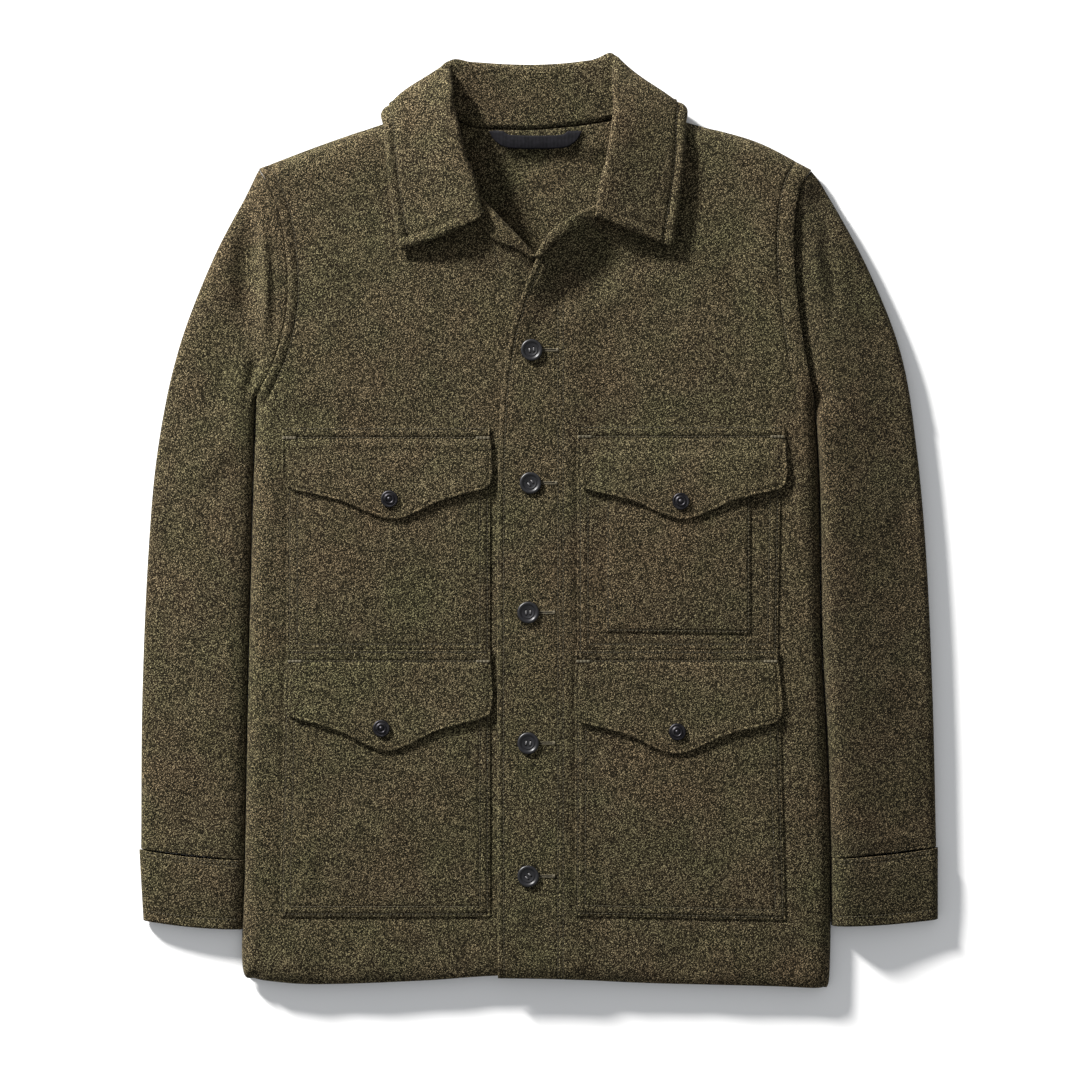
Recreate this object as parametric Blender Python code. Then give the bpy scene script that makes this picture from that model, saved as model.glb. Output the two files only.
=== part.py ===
"""A wool coat laid flat on its back, buttoned, with its sleeves beside the body.

Metres, +Z up, +Y towards the collar. The origin is under the middle of the coat.
Left and right are the wearer's, so the left front and sleeve are at +X.
Every cloth piece is a wall: a grid of middle points moved half the cloth's thickness each way.
Tables and sizes are in millimetres, and put_in_scene turns them into metres.
"""

import math
from collections import namedtuple

import bmesh
import bpy
import numpy as np
from mathutils import Matrix, Vector

MILLIMETRE = 0.001

# Cloth and gaps
CLOTH = 2.4
COLLAR_CLOTH = 3.0
CUFF_CLOTH = 3.0
TAPE = 1.4
SEAM_GAP = 0.3
INNER_GAP = 3.2
SLEEVE_HEIGHT = 8.4
CUFF_HEIGHT = 9.4

# Where the front lies on the back, and how it comes down to the side and shoulder seams
FRONT_BOTTOM = CLOTH + INNER_GAP
EDGE_DROP = INNER_GAP - 2 * SEAM_GAP
EDGE_ROUND = 13.0
HEM_DROP = 1.4
HEM_ROUND = 26.0

# The button stand: the under front reaches this far, and the top front steps down beyond it
UNDERLAP_X = 20.0
STEP_START_X = 21.5
STEP_END_X = 31.0
OVERLAP_RISE = CLOTH + SEAM_GAP

# The back rises over the collar's fall, which lies beneath it at the neck
NECK_RISE = COLLAR_CLOTH + 3 * SEAM_GAP
NECK_RISE_LOW_Y = 314.0
NECK_RISE_HIGH_Y = 333.0
NECK_RISE_INNER_X = 140.0
NECK_RISE_OUTER_X = 172.0

# The lapels
LAPEL_REACH = 22.0
LAPEL_BEND = 1.7

# Buttons, snaps and pockets
BUTTON_DIAMETER = 19.0
BUTTON_HEIGHT = 3.4
BUTTON_HOLE = 1.9
BUTTON_HOLE_SPACING = 3.6
SNAP_DIAMETER = 15.0
SNAP_HEIGHT = 3.2

Point = namedtuple("Point", "place x y")
Lift = namedtuple("Lift", "place x y rise")
Station = namedtuple("Station", "place seam roll outward bend middle edge")
Pocket = namedtuple("Pocket", "name left_top left_bottom right_top right_bottom top bottom slant")
Flap = namedtuple("Flap", "name left_top right_top left right top corner point_x point_y side_y")
Button = namedtuple("Button", "name x y")
Column = namedtuple("Column", "top_x hem_x")
Ring = namedtuple("Ring", "radius height")

# Outlines of the body, from the hem up
RIGHT_SIDE = [
    Point("hem corner", -248.0, -400.0),
    Point("above the hem", -258.5, -388.0),
    Point("low side", -256.5, -296.0),
    Point("hip", -254.0, -156.0),
    Point("waist", -252.0, -68.0),
    Point("chest", -249.0, 37.0),
    Point("underarm", -247.0, 108.0),
]
LEFT_SIDE = [
    Point("hem corner", 249.0, -407.8),
    Point("above the hem", 254.0, -396.0),
    Point("low side", 255.0, -300.0),
    Point("hip", 252.0, -200.0),
    Point("waist", 247.0, -103.0),
    Point("chest", 245.0, 25.0),
    Point("underarm", 241.0, 107.0),
]
RIGHT_ARMHOLE = [
    Point("underarm", -247.0, 108.0),
    Point("low curve", -228.0, 150.0),
    Point("deepest", -219.0, 199.0),
    Point("high curve", -224.0, 259.0),
    Point("near the tip", -235.0, 292.0),
    Point("shoulder tip", -245.0, 309.0),
]
LEFT_ARMHOLE = [
    Point("underarm", 241.0, 107.0),
    Point("low curve", 231.5, 158.0),
    Point("deepest", 224.5, 215.0),
    Point("high curve", 224.0, 262.0),
    Point("near the tip", 229.0, 292.0),
    Point("shoulder tip", 239.0, 308.0),
]
RIGHT_SHOULDER = [
    Point("shoulder tip", -245.0, 309.0),
    Point("middle", -190.0, 330.0),
    Point("collar edge", -137.0, 348.0),
    Point("side neck", -88.0, 363.0),
]
LEFT_SHOULDER = [
    Point("shoulder tip", 239.0, 308.0),
    Point("middle", 190.0, 333.0),
    Point("collar edge", 130.0, 349.6),
    Point("side neck", 86.0, 365.0),
]
# The front necklines, from the side neck to the top of the lapel roll
RIGHT_NECKLINE = [
    Point("side neck", -88.0, 363.0),
    Point("high", -87.0, 340.0),
    Point("low", -77.0, 312.0),
    Point("lapel", -53.0, 283.0),
]
LEFT_NECKLINE = [
    Point("side neck", 86.0, 365.0),
    Point("high", 84.0, 340.0),
    Point("low", 75.0, 308.0),
    Point("lapel", 53.0, 275.0),
]
BACK_NECK = [
    Point("right side neck", -88.0, 363.0),
    Point("right", -58.0, 345.0),
    Point("middle", 0.0, 343.0),
    Point("left", 58.0, 350.0),
    Point("left side neck", 86.0, 365.0),
]
RIGHT_ROLL = [
    Point("lapel", -53.0, 283.0),
    Point("upper", -36.0, 264.0),
    Point("lower", -16.0, 244.0),
    Point("crossing", -1.5, 229.0),
]
LEFT_ROLL = [
    Point("lapel", 53.0, 275.0),
    Point("upper", 31.0, 264.0),
    Point("lower", 12.0, 250.0),
    Point("crossing", -1.5, 230.0),
]
RIGHT_LAPEL_EDGE = [
    Point("notch", -55.0, 267.0),
    Point("corner", -41.0, 247.0),
    Point("lower", -22.0, 240.0),
    Point("crossing", -4.5, 227.5),
]
LEFT_LAPEL_EDGE = [
    Point("notch", 49.0, 258.0),
    Point("corner", 28.0, 252.5),
    Point("lower", 13.0, 242.0),
    Point("crossing", 0.5, 228.0),
]
RIGHT_FRONT_EDGE = [
    Point("hem", UNDERLAP_X, -397.0),
    Point("middle", UNDERLAP_X, -100.0),
    Point("chest", UNDERLAP_X, 178.0),
    Point("curve", 13.0, 208.0),
    Point("crossing", -1.5, 229.0),
]
LEFT_FRONT_EDGE = [
    Point("hem", -35.5, -398.5),
    Point("low", -36.0, -200.0),
    Point("high", -35.0, 60.0),
    Point("first button", -28.0, 145.0),
    Point("curve", -17.0, 190.0),
    Point("crossing", -1.5, 230.0),
]
RIGHT_HEM = [
    Point("side", -248.0, -400.0),
    Point("outer", -196.0, -404.0),
    Point("middle", -104.0, -401.0),
    Point("inner", -36.0, -396.5),
    Point("underlap", UNDERLAP_X, -397.0),
]
LEFT_HEM = [
    Point("side", 249.0, -407.8),
    Point("outer", 196.0, -405.5),
    Point("middle", 96.0, -403.0),
    Point("inner", 22.0, -399.5),
    Point("edge", -35.5, -398.5),
]

# The columns of each front's grid: x at its top and at its hem, from the free edge outwards
FRONT_COLUMNS = {
    "right": [Column(-9.0, 2.0), Column(-18.0, -18.0), Column(-28.0, -40.0), Column(-40.0, -58.0),
              Column(-53.0, -78.0), Column(-65.0, -96.0), Column(-77.0, -112.0), Column(-88.0, -130.0),
              Column(-140.0, -162.0), Column(-172.0, -190.0), Column(-206.0, -216.0), Column(-230.0, -236.0),
              Column(-240.0, -244.0)],
    "left": [Column(6.0, -17.0), Column(14.0, 3.0),
             Column(STEP_START_X, STEP_START_X), Column(STEP_END_X, STEP_END_X),
             Column(42.0, 46.0), Column(53.0, 62.0), Column(64.0, 80.0), Column(75.0, 98.0),
             Column(86.0, 118.0), Column(140.0, 158.0), Column(172.0, 188.0), Column(206.0, 216.0),
             Column(225.0, 236.0), Column(235.0, 246.0)],
}
ROLL_END_X = {"right": -53.0, "left": 53.0}
# How far the columns beside a free edge, and those beside an outer side, bend with it
EDGE_PULLS = [1.0, 0.62, 0.3]
OUTER_PULLS = [0.5, 0.86, 0.97, 1.0]
# The turns of the cloth over a lapel's roll, in degrees
LAPEL_TURNS = (45.0, 90.0, 135.0, 180.0)

# The back's columns between its sides, and how far those beside a side bend with it
BACK_COLUMNS = [-215.0, -172.0, -140.0, -88.0, -58.0, -20.0, 20.0, 58.0, 86.0, 140.0, 172.0, 215.0]
BACK_PULLS = [1.0, 0.7, 0.3]
BACK_INSET = 0.5

# Sleeves, from the shoulder tip or the underarm down to the cuff seam
RIGHT_SLEEVE_OUTER = [
    Point("shoulder tip", -245.0, 309.0),
    Point("cap", -257.0, 285.0),
    Point("upper", -286.0, 229.0),
    Point("above the elbow", -316.0, 150.0),
    Point("elbow", -334.0, 63.0),
    Point("forearm", -342.5, -33.0),
    Point("low", -347.5, -156.0),
    Point("cuff seam", -348.5, -286.0),
]
LEFT_SLEEVE_OUTER = [
    Point("shoulder tip", 239.0, 308.0),
    Point("cap", 252.0, 289.0),
    Point("upper", 289.0, 221.0),
    Point("above the elbow", 318.0, 146.0),
    Point("elbow", 331.5, 63.0),
    Point("forearm", 340.0, -33.0),
    Point("low", 345.5, -156.0),
    Point("cuff seam", 348.5, -284.0),
]
RIGHT_SLEEVE_INNER = [
    Point("underarm", -248.3, 106.5),
    Point("chest", -250.4, 37.0),
    Point("waist", -253.2, -68.0),
    Point("hip", -255.2, -156.0),
    Point("cuff seam", -257.6, -295.5),
]
LEFT_SLEEVE_INNER = [
    Point("underarm", 242.3, 105.5),
    Point("chest", 246.2, 25.0),
    Point("waist", 248.3, -103.0),
    Point("hip", 253.2, -200.0),
    Point("cuff seam", 255.6, -293.5),
]
RIGHT_CUFF = [
    Point("outer top", -350.0, -287.0),
    Point("inner top", -257.5, -296.2),
    Point("outer bottom", -346.5, -349.0),
    Point("inner bottom", -259.4, -356.5),
]
LEFT_CUFF = [
    Point("outer top", 350.0, -285.0),
    Point("inner top", 255.8, -294.2),
    Point("outer bottom", 350.0, -347.5),
    Point("inner bottom", 256.4, -353.0),
]

# Shares up the armhole seam at which the fronts, the back and the sleeves have points
ARMHOLE_SHARES = (0.0, 0.07, 0.16, 0.3, 0.44, 0.58, 0.72, 0.84, 0.92, 0.97, 1.0)

# Shares down a sleeve and down a cuff at which they have rings, and across a cuff
SLEEVE_STATIONS = (0.0, 0.03, 0.08, 0.16, 0.26, 0.37, 0.49, 0.62, 0.8, 1.0)
CUFF_STATIONS = (0.0, 0.5, 1.0)
CUFF_SHARES = (0.25, 0.5, 0.75)
CUFF_SAG = 1.6

# How far each front is lifted along its edge and lapel roll
RIGHT_LIFTS = [
    Lift("underlap", UNDERLAP_X, 180.0, 0.0),
    Lift("curve", 13.0, 208.0, 1.0),
    Lift("crossing", -1.5, 229.0, 4.2),
    Lift("lower roll", -16.0, 244.0, 6.0),
    Lift("upper roll", -36.0, 264.0, 7.5),
    Lift("lapel", -53.0, 283.0, 6.5),
    Lift("low neck", -77.0, 312.0, 3.0),
    Lift("high neck", -87.0, 340.0, 0.5),
]
LEFT_LIFTS = [
    Lift("first button", -28.0, 145.0, 0.0),
    Lift("curve", -17.0, 190.0, 4.0),
    Lift("crossing", -1.5, 230.0, 8.2),
    Lift("lower roll", 12.0, 250.0, 9.0),
    Lift("upper roll", 31.0, 264.0, 9.0),
    Lift("lapel", 53.0, 275.0, 7.0),
    Lift("low neck", 75.0, 308.0, 3.0),
    Lift("high neck", 84.0, 340.0, 0.5),
]

# The collar, from the right notch round the back to the left notch. Each station is one section:
# its seam, its roll, the way the cloth turns at the roll in degrees about the neckline, the size
# of that bend, the middle of its fall and its outer edge.
COLLAR = [
    Station("right notch", (-59, 281, 16.8), (-50, 280, 19.5), 90, 1.9, (-84, 259.5, 18.0), (-121, 244, 14.5)),
    Station("right front", (-63.8, 295.0, 14.6), (-56, 296, 20.0), 90, 3.0, (-94, 279, 18.0), (-126, 262, 13.6)),
    Station("right neck", (-73, 313.5, 12.6), (-65, 320, 20.0), 90, 3.2, (-101, 306, 18.2), (-130, 290, 13.4)),
    Station("right high neck", (-80.5, 337.5, 11.0), (-71, 346, 19.6), 95, 3.2, (-106, 334, 18.0), (-133.5, 322, 13.2)),
    Station("right shoulder", (-82.5, 352, 10.2), (-76, 374, 18.4), 110, 3.0, (-112, 358, 17.0), (-135, 343, 13.0)),
    Station("right turn", (-82, 361.5, 8.6), (-79, 392, 15.4), 150, 2.9, (-118, 373.5, 12.8), (-136.5, 357, 7.0)),
    Station("right peak", (-74, 355.5, 7.4), (-78, 402, 11.4), 195, 2.8, (-106, 378, 5.4), (-121, 359, 1.5)),
    Station("right back", (-58, 347.2, 5.6), (-56, 400, 8.0), 245, 2.4, (-66, 371, 2.0), (-86, 342, 1.5)),
    Station("back quarter", (-28, 345.4, 5.2), (-28, 397.5, 6.8), 268, 2.2, (-29, 368, 1.5), (-34, 338, 1.5)),
    Station("back middle", (0, 345.2, 5.2), (0, 397, 6.6), 270, 2.2, (0, 368, 1.5), (0, 337, 1.5)),
    Station("back left quarter", (28, 348.0, 5.2), (27, 398.5, 6.8), 272, 2.2, (28, 370, 1.5), (32, 339, 1.5)),
    Station("left back", (56, 352.0, 5.6), (52, 403, 8.0), 295, 2.4, (62, 374, 2.0), (80, 344, 1.5)),
    Station("left peak", (72, 358.5, 7.4), (69, 408.3, 11.4), 345, 2.8, (97, 382, 5.4), (115, 361, 1.5)),
    Station("left turn", (79.5, 364, 8.6), (69, 395, 15.4), 30, 2.9, (108, 378, 12.8), (129.4, 360.5, 7.4)),
    Station("left shoulder", (80, 353, 10.2), (66, 374, 18.4), 70, 3.0, (103, 360, 17.0), (128, 343, 13.0)),
    Station("left high neck", (77.5, 337.5, 11.0), (65, 346, 19.6), 85, 3.2, (99, 336, 18.0), (128, 320, 13.2)),
    Station("left neck", (70, 310.5, 12.9), (61, 318, 20.0), 90, 3.2, (95, 306, 18.4), (125, 291, 13.4)),
    Station("left front", (61, 293, 15.2), (54, 294, 20.4), 90, 3.0, (88, 281, 18.4), (121, 263, 13.4)),
    Station("left notch", (60, 280, 17.0), (50, 278, 20.6), 90, 1.9, (80, 262, 18.6), (115, 244, 13.6)),
]
# Shares along a section, from the seam to the outer edge, with more at the roll
COLLAR_SHARES = (0.0, 0.14, 0.24, 0.285, 0.32, 0.355, 0.4, 0.52, 0.68, 0.85, 1.0)

# Patch pockets: x of the four corners, then the top, the bottom and how much lower the left end is
POCKETS = [
    Pocket("pocket_upper_right", -219.5, -220.0, -42.0, -42.0, 62.0, -116.0, 0.0),
    Pocket("pocket_upper_left", 34.0, 34.0, 212.0, 209.0, 62.0, -116.0, 0.0),
    Pocket("pocket_lower_right", -221.5, -226.0, -42.0, -42.0, -121.0, -345.0, 0.0),
    Pocket("pocket_lower_left", 32.5, 31.5, 210.0, 216.0, -121.0, -344.0, -4.0),
]
PEN_POCKET = Pocket("pocket_pen", 59.0, 59.0, 185.0, 185.0, 54.0, -96.0, -1.5)

# Flaps: x at the top and at the sides, the top, the corners and the point
FLAPS = [
    Flap("flap_upper_right", -224.0, -42.0, -224.0, -40.0, 83.0, 33.0, -126.0, 2.0, 45.0),
    Flap("flap_upper_left", 34.0, 215.0, 33.0, 217.5, 84.0, 33.0, 126.0, 2.0, 45.0),
    Flap("flap_lower_right", -219.0, -42.0, -222.0, -39.5, -112.0, -166.0, -132.0, -200.0, -154.0),
    Flap("flap_lower_left", 32.5, 209.0, 31.0, 213.5, -112.0, -171.0, 120.0, -202.5, -160.0),
]
# A flap's lower edge, from a corner to the point: share of the way across, share of the way down
FLAP_EDGE = [(0.0, -0.36), (0.025, 0.0), (0.1, 0.16), (0.3, 0.3), (0.55, 0.5), (0.8, 0.84), (1.0, 1.0)]
# Rows down a flap as shares of its straight side; an upper flap steps onto its pocket at these
FLAP_STRAIGHT_ROWS = (0.0, 0.25, 0.51, 0.76, 1.0)
FLAP_STEP_HIGH = 74.0
FLAP_STEP_LOW = 64.2
PEN_STEP_HIGH = 64.2
PEN_STEP_LOW = 54.5
PEN_STEP_X = (46.0, 57.0, 187.0, 198.0)

BUTTONS = [
    Button("button_1", -6.0, 150.0),
    Button("button_2", -7.0, 34.0),
    Button("button_3", -9.0, -79.0),
    Button("button_4", -9.0, -193.0),
    Button("button_5", -9.0, -309.0),
]
# Half sections of a button and of a snap cap: shares of the radius and of the height
BUTTON_PROFILE = [
    Ring(0.0, 0.0),
    Ring(0.62, 0.0),
    Ring(1.0, 0.45),
    Ring(0.93, 0.88),
    Ring(0.8, 1.0),
    Ring(0.56, 0.62),
    Ring(0.0, 0.56),
]
SNAP_PROFILE = [
    Ring(0.0, 0.0),
    Ring(0.9, 0.0),
    Ring(1.0, 0.2),
    Ring(1.0, 0.4),
    Ring(0.92, 0.62),
    Ring(0.72, 0.7),
    Ring(0.6, 0.8),
    Ring(0.34, 0.96),
    Ring(0.0, 1.0),
]
SNAPS = [
    Button("snap_upper_right", -130.0, 20.0),
    Button("snap_upper_left", 124.0, 18.0),
    Button("snap_lower_right", -137.0, -180.0),
    Button("snap_lower_left", 121.0, -183.0),
]
# The hanger loop's tape, along its middle
LOOP_PATH = [
    Point("right end", -43.0, 340.0),
    Point("right corner", -34.0, 334.5),
    Point("right low", -22.0, 331.5),
    Point("left low", 15.0, 332.5),
    Point("left corner", 28.0, 336.0),
    Point("left end", 36.0, 342.0),
]
LOOP_WIDTH = 11.5
LOOP_TOP_Y = 342.4


def remove_old_objects():
    for old in list(bpy.data.objects):
        bpy.data.objects.remove(old, do_unlink=True)


def smoothstep(low, high, value):
    share = np.clip((value - low) / (high - low), 0.0, 1.0)
    return share * share * (3.0 - 2.0 * share)


def smooth_curve(points, per_span=12):
    """Points along a Catmull-Rom curve through the given points."""
    knots = np.asarray(points, float)
    first = 2.0 * knots[0] - knots[1]
    last = 2.0 * knots[-1] - knots[-2]
    padded = np.vstack([first, knots, last])
    curve = []
    for index in range(1, len(padded) - 2):
        before, start, end, after = padded[index - 1:index + 3]
        for step in range(per_span):
            t = step / per_span
            curve.append(0.5 * (2.0 * start + (end - before) * t
                                + (2.0 * before - 5.0 * start + 4.0 * end - after) * t * t
                                + (3.0 * start - before - 3.0 * end + after) * t ** 3))
    curve.append(padded[-2])
    return np.array(curve)


def plan(points):
    """The x and y of a table of points, as a smooth curve."""
    return smooth_curve([(point.x, point.y) for point in points])


def along(curve, shares):
    """Points at the given shares of a curve's length."""
    steps = np.linalg.norm(np.diff(curve, axis=0), axis=1)
    length = np.concatenate([[0.0], np.cumsum(steps)])
    wanted = np.asarray(shares) * length[-1]
    return np.stack([np.interp(wanted, length, curve[:, axis]) for axis in range(curve.shape[1])], axis=1)


def distance_to(curve, x, y):
    """How far each point of the plan is from a curve of the plan."""
    start = curve[:-1]
    span = curve[1:] - curve[:-1]
    points = np.stack([np.asarray(x, float), np.asarray(y, float)], axis=-1)[..., None, :]
    share = np.clip(((points - start) * span).sum(-1) / (span * span).sum(-1), 0.0, 1.0)
    nearest = start + span * share[..., None]
    return np.sqrt(((points - nearest) ** 2).sum(-1)).min(-1)


def filled(low, high, left, right, left_pull, right_pull, rows):
    """A grid of plan points between a low and a high row of points.

    The side curves bend the columns beside them by the pulls, from 1 at the side to 0 well inside.
    """
    v = np.asarray(rows)[:, None, None]
    near = along(left, rows)[:, None]
    far = along(right, rows)[:, None]
    straight = (1 - v) * low[None] + v * high[None]
    near_bend = near - ((1 - v) * low[0] + v * high[0])
    far_bend = far - ((1 - v) * low[-1] + v * high[-1])
    near_pull = np.asarray(left_pull)[None, :, None]
    far_pull = np.asarray(right_pull)[None, :, None]
    return straight + near_bend * near_pull + far_bend * far_pull


def at_x(curve, x):
    """The points of a plan curve that runs sideways, at the given x."""
    order = np.argsort(curve[:, 0])
    return np.stack([np.asarray(x, float), np.interp(x, curve[order, 0], curve[order, 1])], axis=1)


def moved_along_normal(curve, distance):
    """A plan curve moved sideways, to its left as it runs."""
    tangent = np.gradient(curve, axis=0)
    tangent /= np.linalg.norm(tangent, axis=1)[:, None]
    normal = np.stack([-tangent[:, 1], tangent[:, 0]], axis=1)
    return curve + normal * distance


# The curves that several pieces share, each piece moved back from them by half the seam gap
HALF_GAP = SEAM_GAP / 2
SLEEVE_GAP = 0.8
SIDES = {"right": plan(RIGHT_SIDE), "left": plan(LEFT_SIDE)}
ARMHOLES = {"right": plan(RIGHT_ARMHOLE), "left": plan(LEFT_ARMHOLE)}
SHOULDERS = {"right": plan(RIGHT_SHOULDER), "left": plan(LEFT_SHOULDER)}
NECKLINES = {"right": plan(RIGHT_NECKLINE), "left": plan(LEFT_NECKLINE)}
ROLLS = {"right": plan(RIGHT_ROLL), "left": plan(LEFT_ROLL)}
HEMS = {"right": plan(RIGHT_HEM), "left": plan(LEFT_HEM)}
LAPEL_EDGES = {"right": plan(RIGHT_LAPEL_EDGE), "left": plan(LEFT_LAPEL_EDGE)}
FRONT_EDGES = {"right": plan(RIGHT_FRONT_EDGE), "left": plan(LEFT_FRONT_EDGE)}
LIFTS = {"right": RIGHT_LIFTS, "left": LEFT_LIFTS}
INWARD = {"right": 1.0, "left": -1.0}


def back_rise(x, y):
    """How far the back is raised by the collar's fall beneath it."""
    upwards = smoothstep(NECK_RISE_LOW_Y, NECK_RISE_HIGH_Y, y)
    sideways = 1.0 - smoothstep(NECK_RISE_INNER_X, NECK_RISE_OUTER_X, np.abs(x))
    return NECK_RISE * upwards * sideways


def rounded_drop(distance, drop, reach):
    """A quarter round that falls by drop over the last reach before an edge."""
    share = np.clip(1.0 - distance / reach, 0.0, 1.0)
    return drop * (1.0 - np.sqrt(1.0 - share * share))


def lapel_lift(side, x, y):
    """How far a front is lifted near its lapel."""
    knots = smooth_curve([(lift.x, lift.y, lift.rise) for lift in LIFTS[side]], per_span=6)
    offset_x = np.asarray(x, float)[..., None] - knots[:, 0]
    offset_y = np.asarray(y, float)[..., None] - knots[:, 1]
    distance = np.sqrt(offset_x ** 2 + offset_y ** 2)
    nearest = distance.argmin(-1)
    rise = np.maximum(knots[:, 2][nearest], 0.0)
    return rise * np.exp(-(distance.min(-1) / LAPEL_REACH) ** 2)


def front_bottom(side, x, y):
    """The underside of a front, over the back and, for the left front, over the under front."""
    x = np.asarray(x, float)
    y = np.asarray(y, float)
    height = FRONT_BOTTOM + lapel_lift(side, x, y)
    if side == "left":
        height = height + OVERLAP_RISE * (1.0 - smoothstep(STEP_START_X, STEP_END_X, x))
    height = height - rounded_drop(distance_to(SIDES[side], x, y), EDGE_DROP, EDGE_ROUND)
    height = height - rounded_drop(distance_to(SHOULDERS[side], x, y), EDGE_DROP, EDGE_ROUND)
    height = height - rounded_drop(distance_to(HEMS[side], x, y), HEM_DROP, HEM_ROUND)
    return np.maximum(height, CLOTH + back_rise(x, y) + 2 * SEAM_GAP)


def front_top(side, x, y):
    return front_bottom(side, x, y) + CLOTH


def grid_normals(grid, present):
    """Unit normals at a grid's points, from the cells that are there."""
    normals = np.zeros_like(grid)
    first = grid[1:, 1:] - grid[:-1, :-1]
    second = grid[1:, :-1] - grid[:-1, 1:]
    cells = np.cross(first, second) * present[..., None]
    lengths = np.linalg.norm(cells, axis=2, keepdims=True)
    cells = cells / np.maximum(lengths, 1e-9)
    for row in (slice(0, -1), slice(1, None)):
        for column in (slice(0, -1), slice(1, None)):
            normals[row, column] += cells
    lengths = np.linalg.norm(normals, axis=2, keepdims=True)
    return normals / np.maximum(lengths, 1e-9)


def put_in_scene(name, vertices, faces, material):
    """One object from points in millimetres, with its faces turned outwards."""
    mesh = bpy.data.meshes.new(name)
    mesh.from_pydata([tuple(vertex * MILLIMETRE) for vertex in np.asarray(vertices, float)], [], faces)
    work = bmesh.new()
    work.from_mesh(mesh)
    loose = [vertex for vertex in work.verts if not vertex.link_faces]
    bmesh.ops.delete(work, geom=loose, context="VERTS")
    bmesh.ops.recalc_face_normals(work, faces=work.faces)
    work.to_mesh(mesh)
    work.free()
    mesh.shade_smooth()
    mesh.set_sharp_from_angle(angle=math.radians(40.0))
    mesh.materials.append(material)
    thing = bpy.data.objects.new(name, mesh)
    bpy.context.scene.collection.objects.link(thing)
    return thing


def wall(name, grid, thickness, material, present=None):
    """A cloth wall on a grid of middle points, closed round the edge of the cells that are there."""
    rows, columns = grid.shape[:2]
    if present is None:
        present = np.ones((rows - 1, columns - 1))
    normals = grid_normals(grid, present)
    outside = (grid + normals * thickness / 2).reshape(-1, 3)
    inside = (grid - normals * thickness / 2).reshape(-1, 3)
    other = rows * columns
    faces = []
    rim = set()
    for row in range(rows - 1):
        for column in range(columns - 1):
            if not present[row, column]:
                continue
            corner = row * columns + column
            cell = (corner, corner + 1, corner + columns + 1, corner + columns)
            faces.append(cell)
            faces.append(tuple(index + other for index in reversed(cell)))
            for start, end in zip(cell, cell[1:] + cell[:1]):
                if (end, start) in rim:
                    rim.remove((end, start))
                else:
                    rim.add((start, end))
    for start, end in sorted(rim):
        faces.append((end, start, start + other, end + other))
    return put_in_scene(name, np.vstack([outside, inside]), faces, material)


def flat_wall(name, grid, bottom, thickness, material):
    """A wall that lies on a surface: bottom is a function that gives the height of its underside."""
    x = grid[..., 0]
    y = grid[..., 1]
    middle = np.dstack([x, y, bottom(x, y) + thickness / 2])
    return wall(name, middle, thickness, material)


def tube(name, plan_of, stations, height, thickness, between_shares, material):
    """A flattened tube of cloth. plan_of gives a plan point for a share across and a share down."""
    turns = [math.radians(angle) for angle in (0.0, 35.0, 65.0, 90.0)]
    outer_rings = []
    inner_rings = []
    for down in stations:
        width = np.linalg.norm(plan_of(1.0, down) - plan_of(0.0, down))
        surfaces = ((outer_rings, 0.0, height / 2), (inner_rings, thickness, height / 2 - thickness))
        for rings, inset, radius in surfaces:
            edge = [(inset + radius * (1.0 - math.cos(turn)), radius * math.sin(turn)) for turn in turns]
            between = [(width * share, radius) for share in between_shares]
            far = [(width - across, rise) for across, rise in reversed(edge)]
            upper = edge + between + far
            ring = upper + [(across, -rise) for across, rise in reversed(upper[1:-1])]
            points = []
            for across, rise in ring:
                place = plan_of(across / width, down)
                points.append((place[0], place[1], height / 2 + rise))
            rings.append(points)
    count = len(outer_rings[0])
    vertices = [point for ring in outer_rings + inner_rings for point in ring]
    other = len(stations) * count
    faces = []
    for station in range(len(stations) - 1):
        for index in range(count):
            a = station * count + index
            b = station * count + (index + 1) % count
            faces.append((a, b, b + count, a + count))
            faces.append((a + other, a + other + count, b + other + count, b + other))
    for station in (0, len(stations) - 1):
        for index in range(count):
            a = station * count + index
            b = station * count + (index + 1) % count
            faces.append((a, a + other, b + other, b))
    return put_in_scene(name, vertices, faces, material)


def make_back(material):
    """The back panel, flat beneath, raised at the neck over the collar's fall."""
    left = np.vstack([moved_along_normal(curves["right"], -BACK_INSET) for curves in (SIDES, ARMHOLES)])
    right = np.vstack([moved_along_normal(curves["left"], BACK_INSET) for curves in (SIDES, ARMHOLES)])
    top = np.vstack([SHOULDERS["right"], plan(BACK_NECK), SHOULDERS["left"][::-1]])
    bottom = np.vstack([HEMS["right"], HEMS["left"][::-1][6:]])
    low = np.vstack([left[0], at_x(bottom, BACK_COLUMNS), right[0]])
    high = np.vstack([left[-1], at_x(top, BACK_COLUMNS), right[-1]])
    pull = BACK_PULLS + [0.0] * (len(low) - len(BACK_PULLS))
    rows = front_rows("right")
    rows = rows[:10:2] + rows[10:]
    grid = filled(low, high, left, right, pull, pull[::-1], rows)
    return flat_wall("back", grid, back_rise, CLOTH, material)


def front_outline(side):
    """The four curves of a front: hem, top, free edge and outer side."""
    toward_middle = INWARD[side]
    outer = np.vstack([moved_along_normal(SIDES[side], -HALF_GAP * toward_middle),
                       moved_along_normal(ARMHOLES[side], -HALF_GAP * toward_middle)])
    top = np.vstack([ROLLS[side][::-1], NECKLINES[side][::-1], SHOULDERS[side][::-1]])
    hem = HEMS[side][::-1]
    return hem, top, FRONT_EDGES[side], outer


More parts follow.
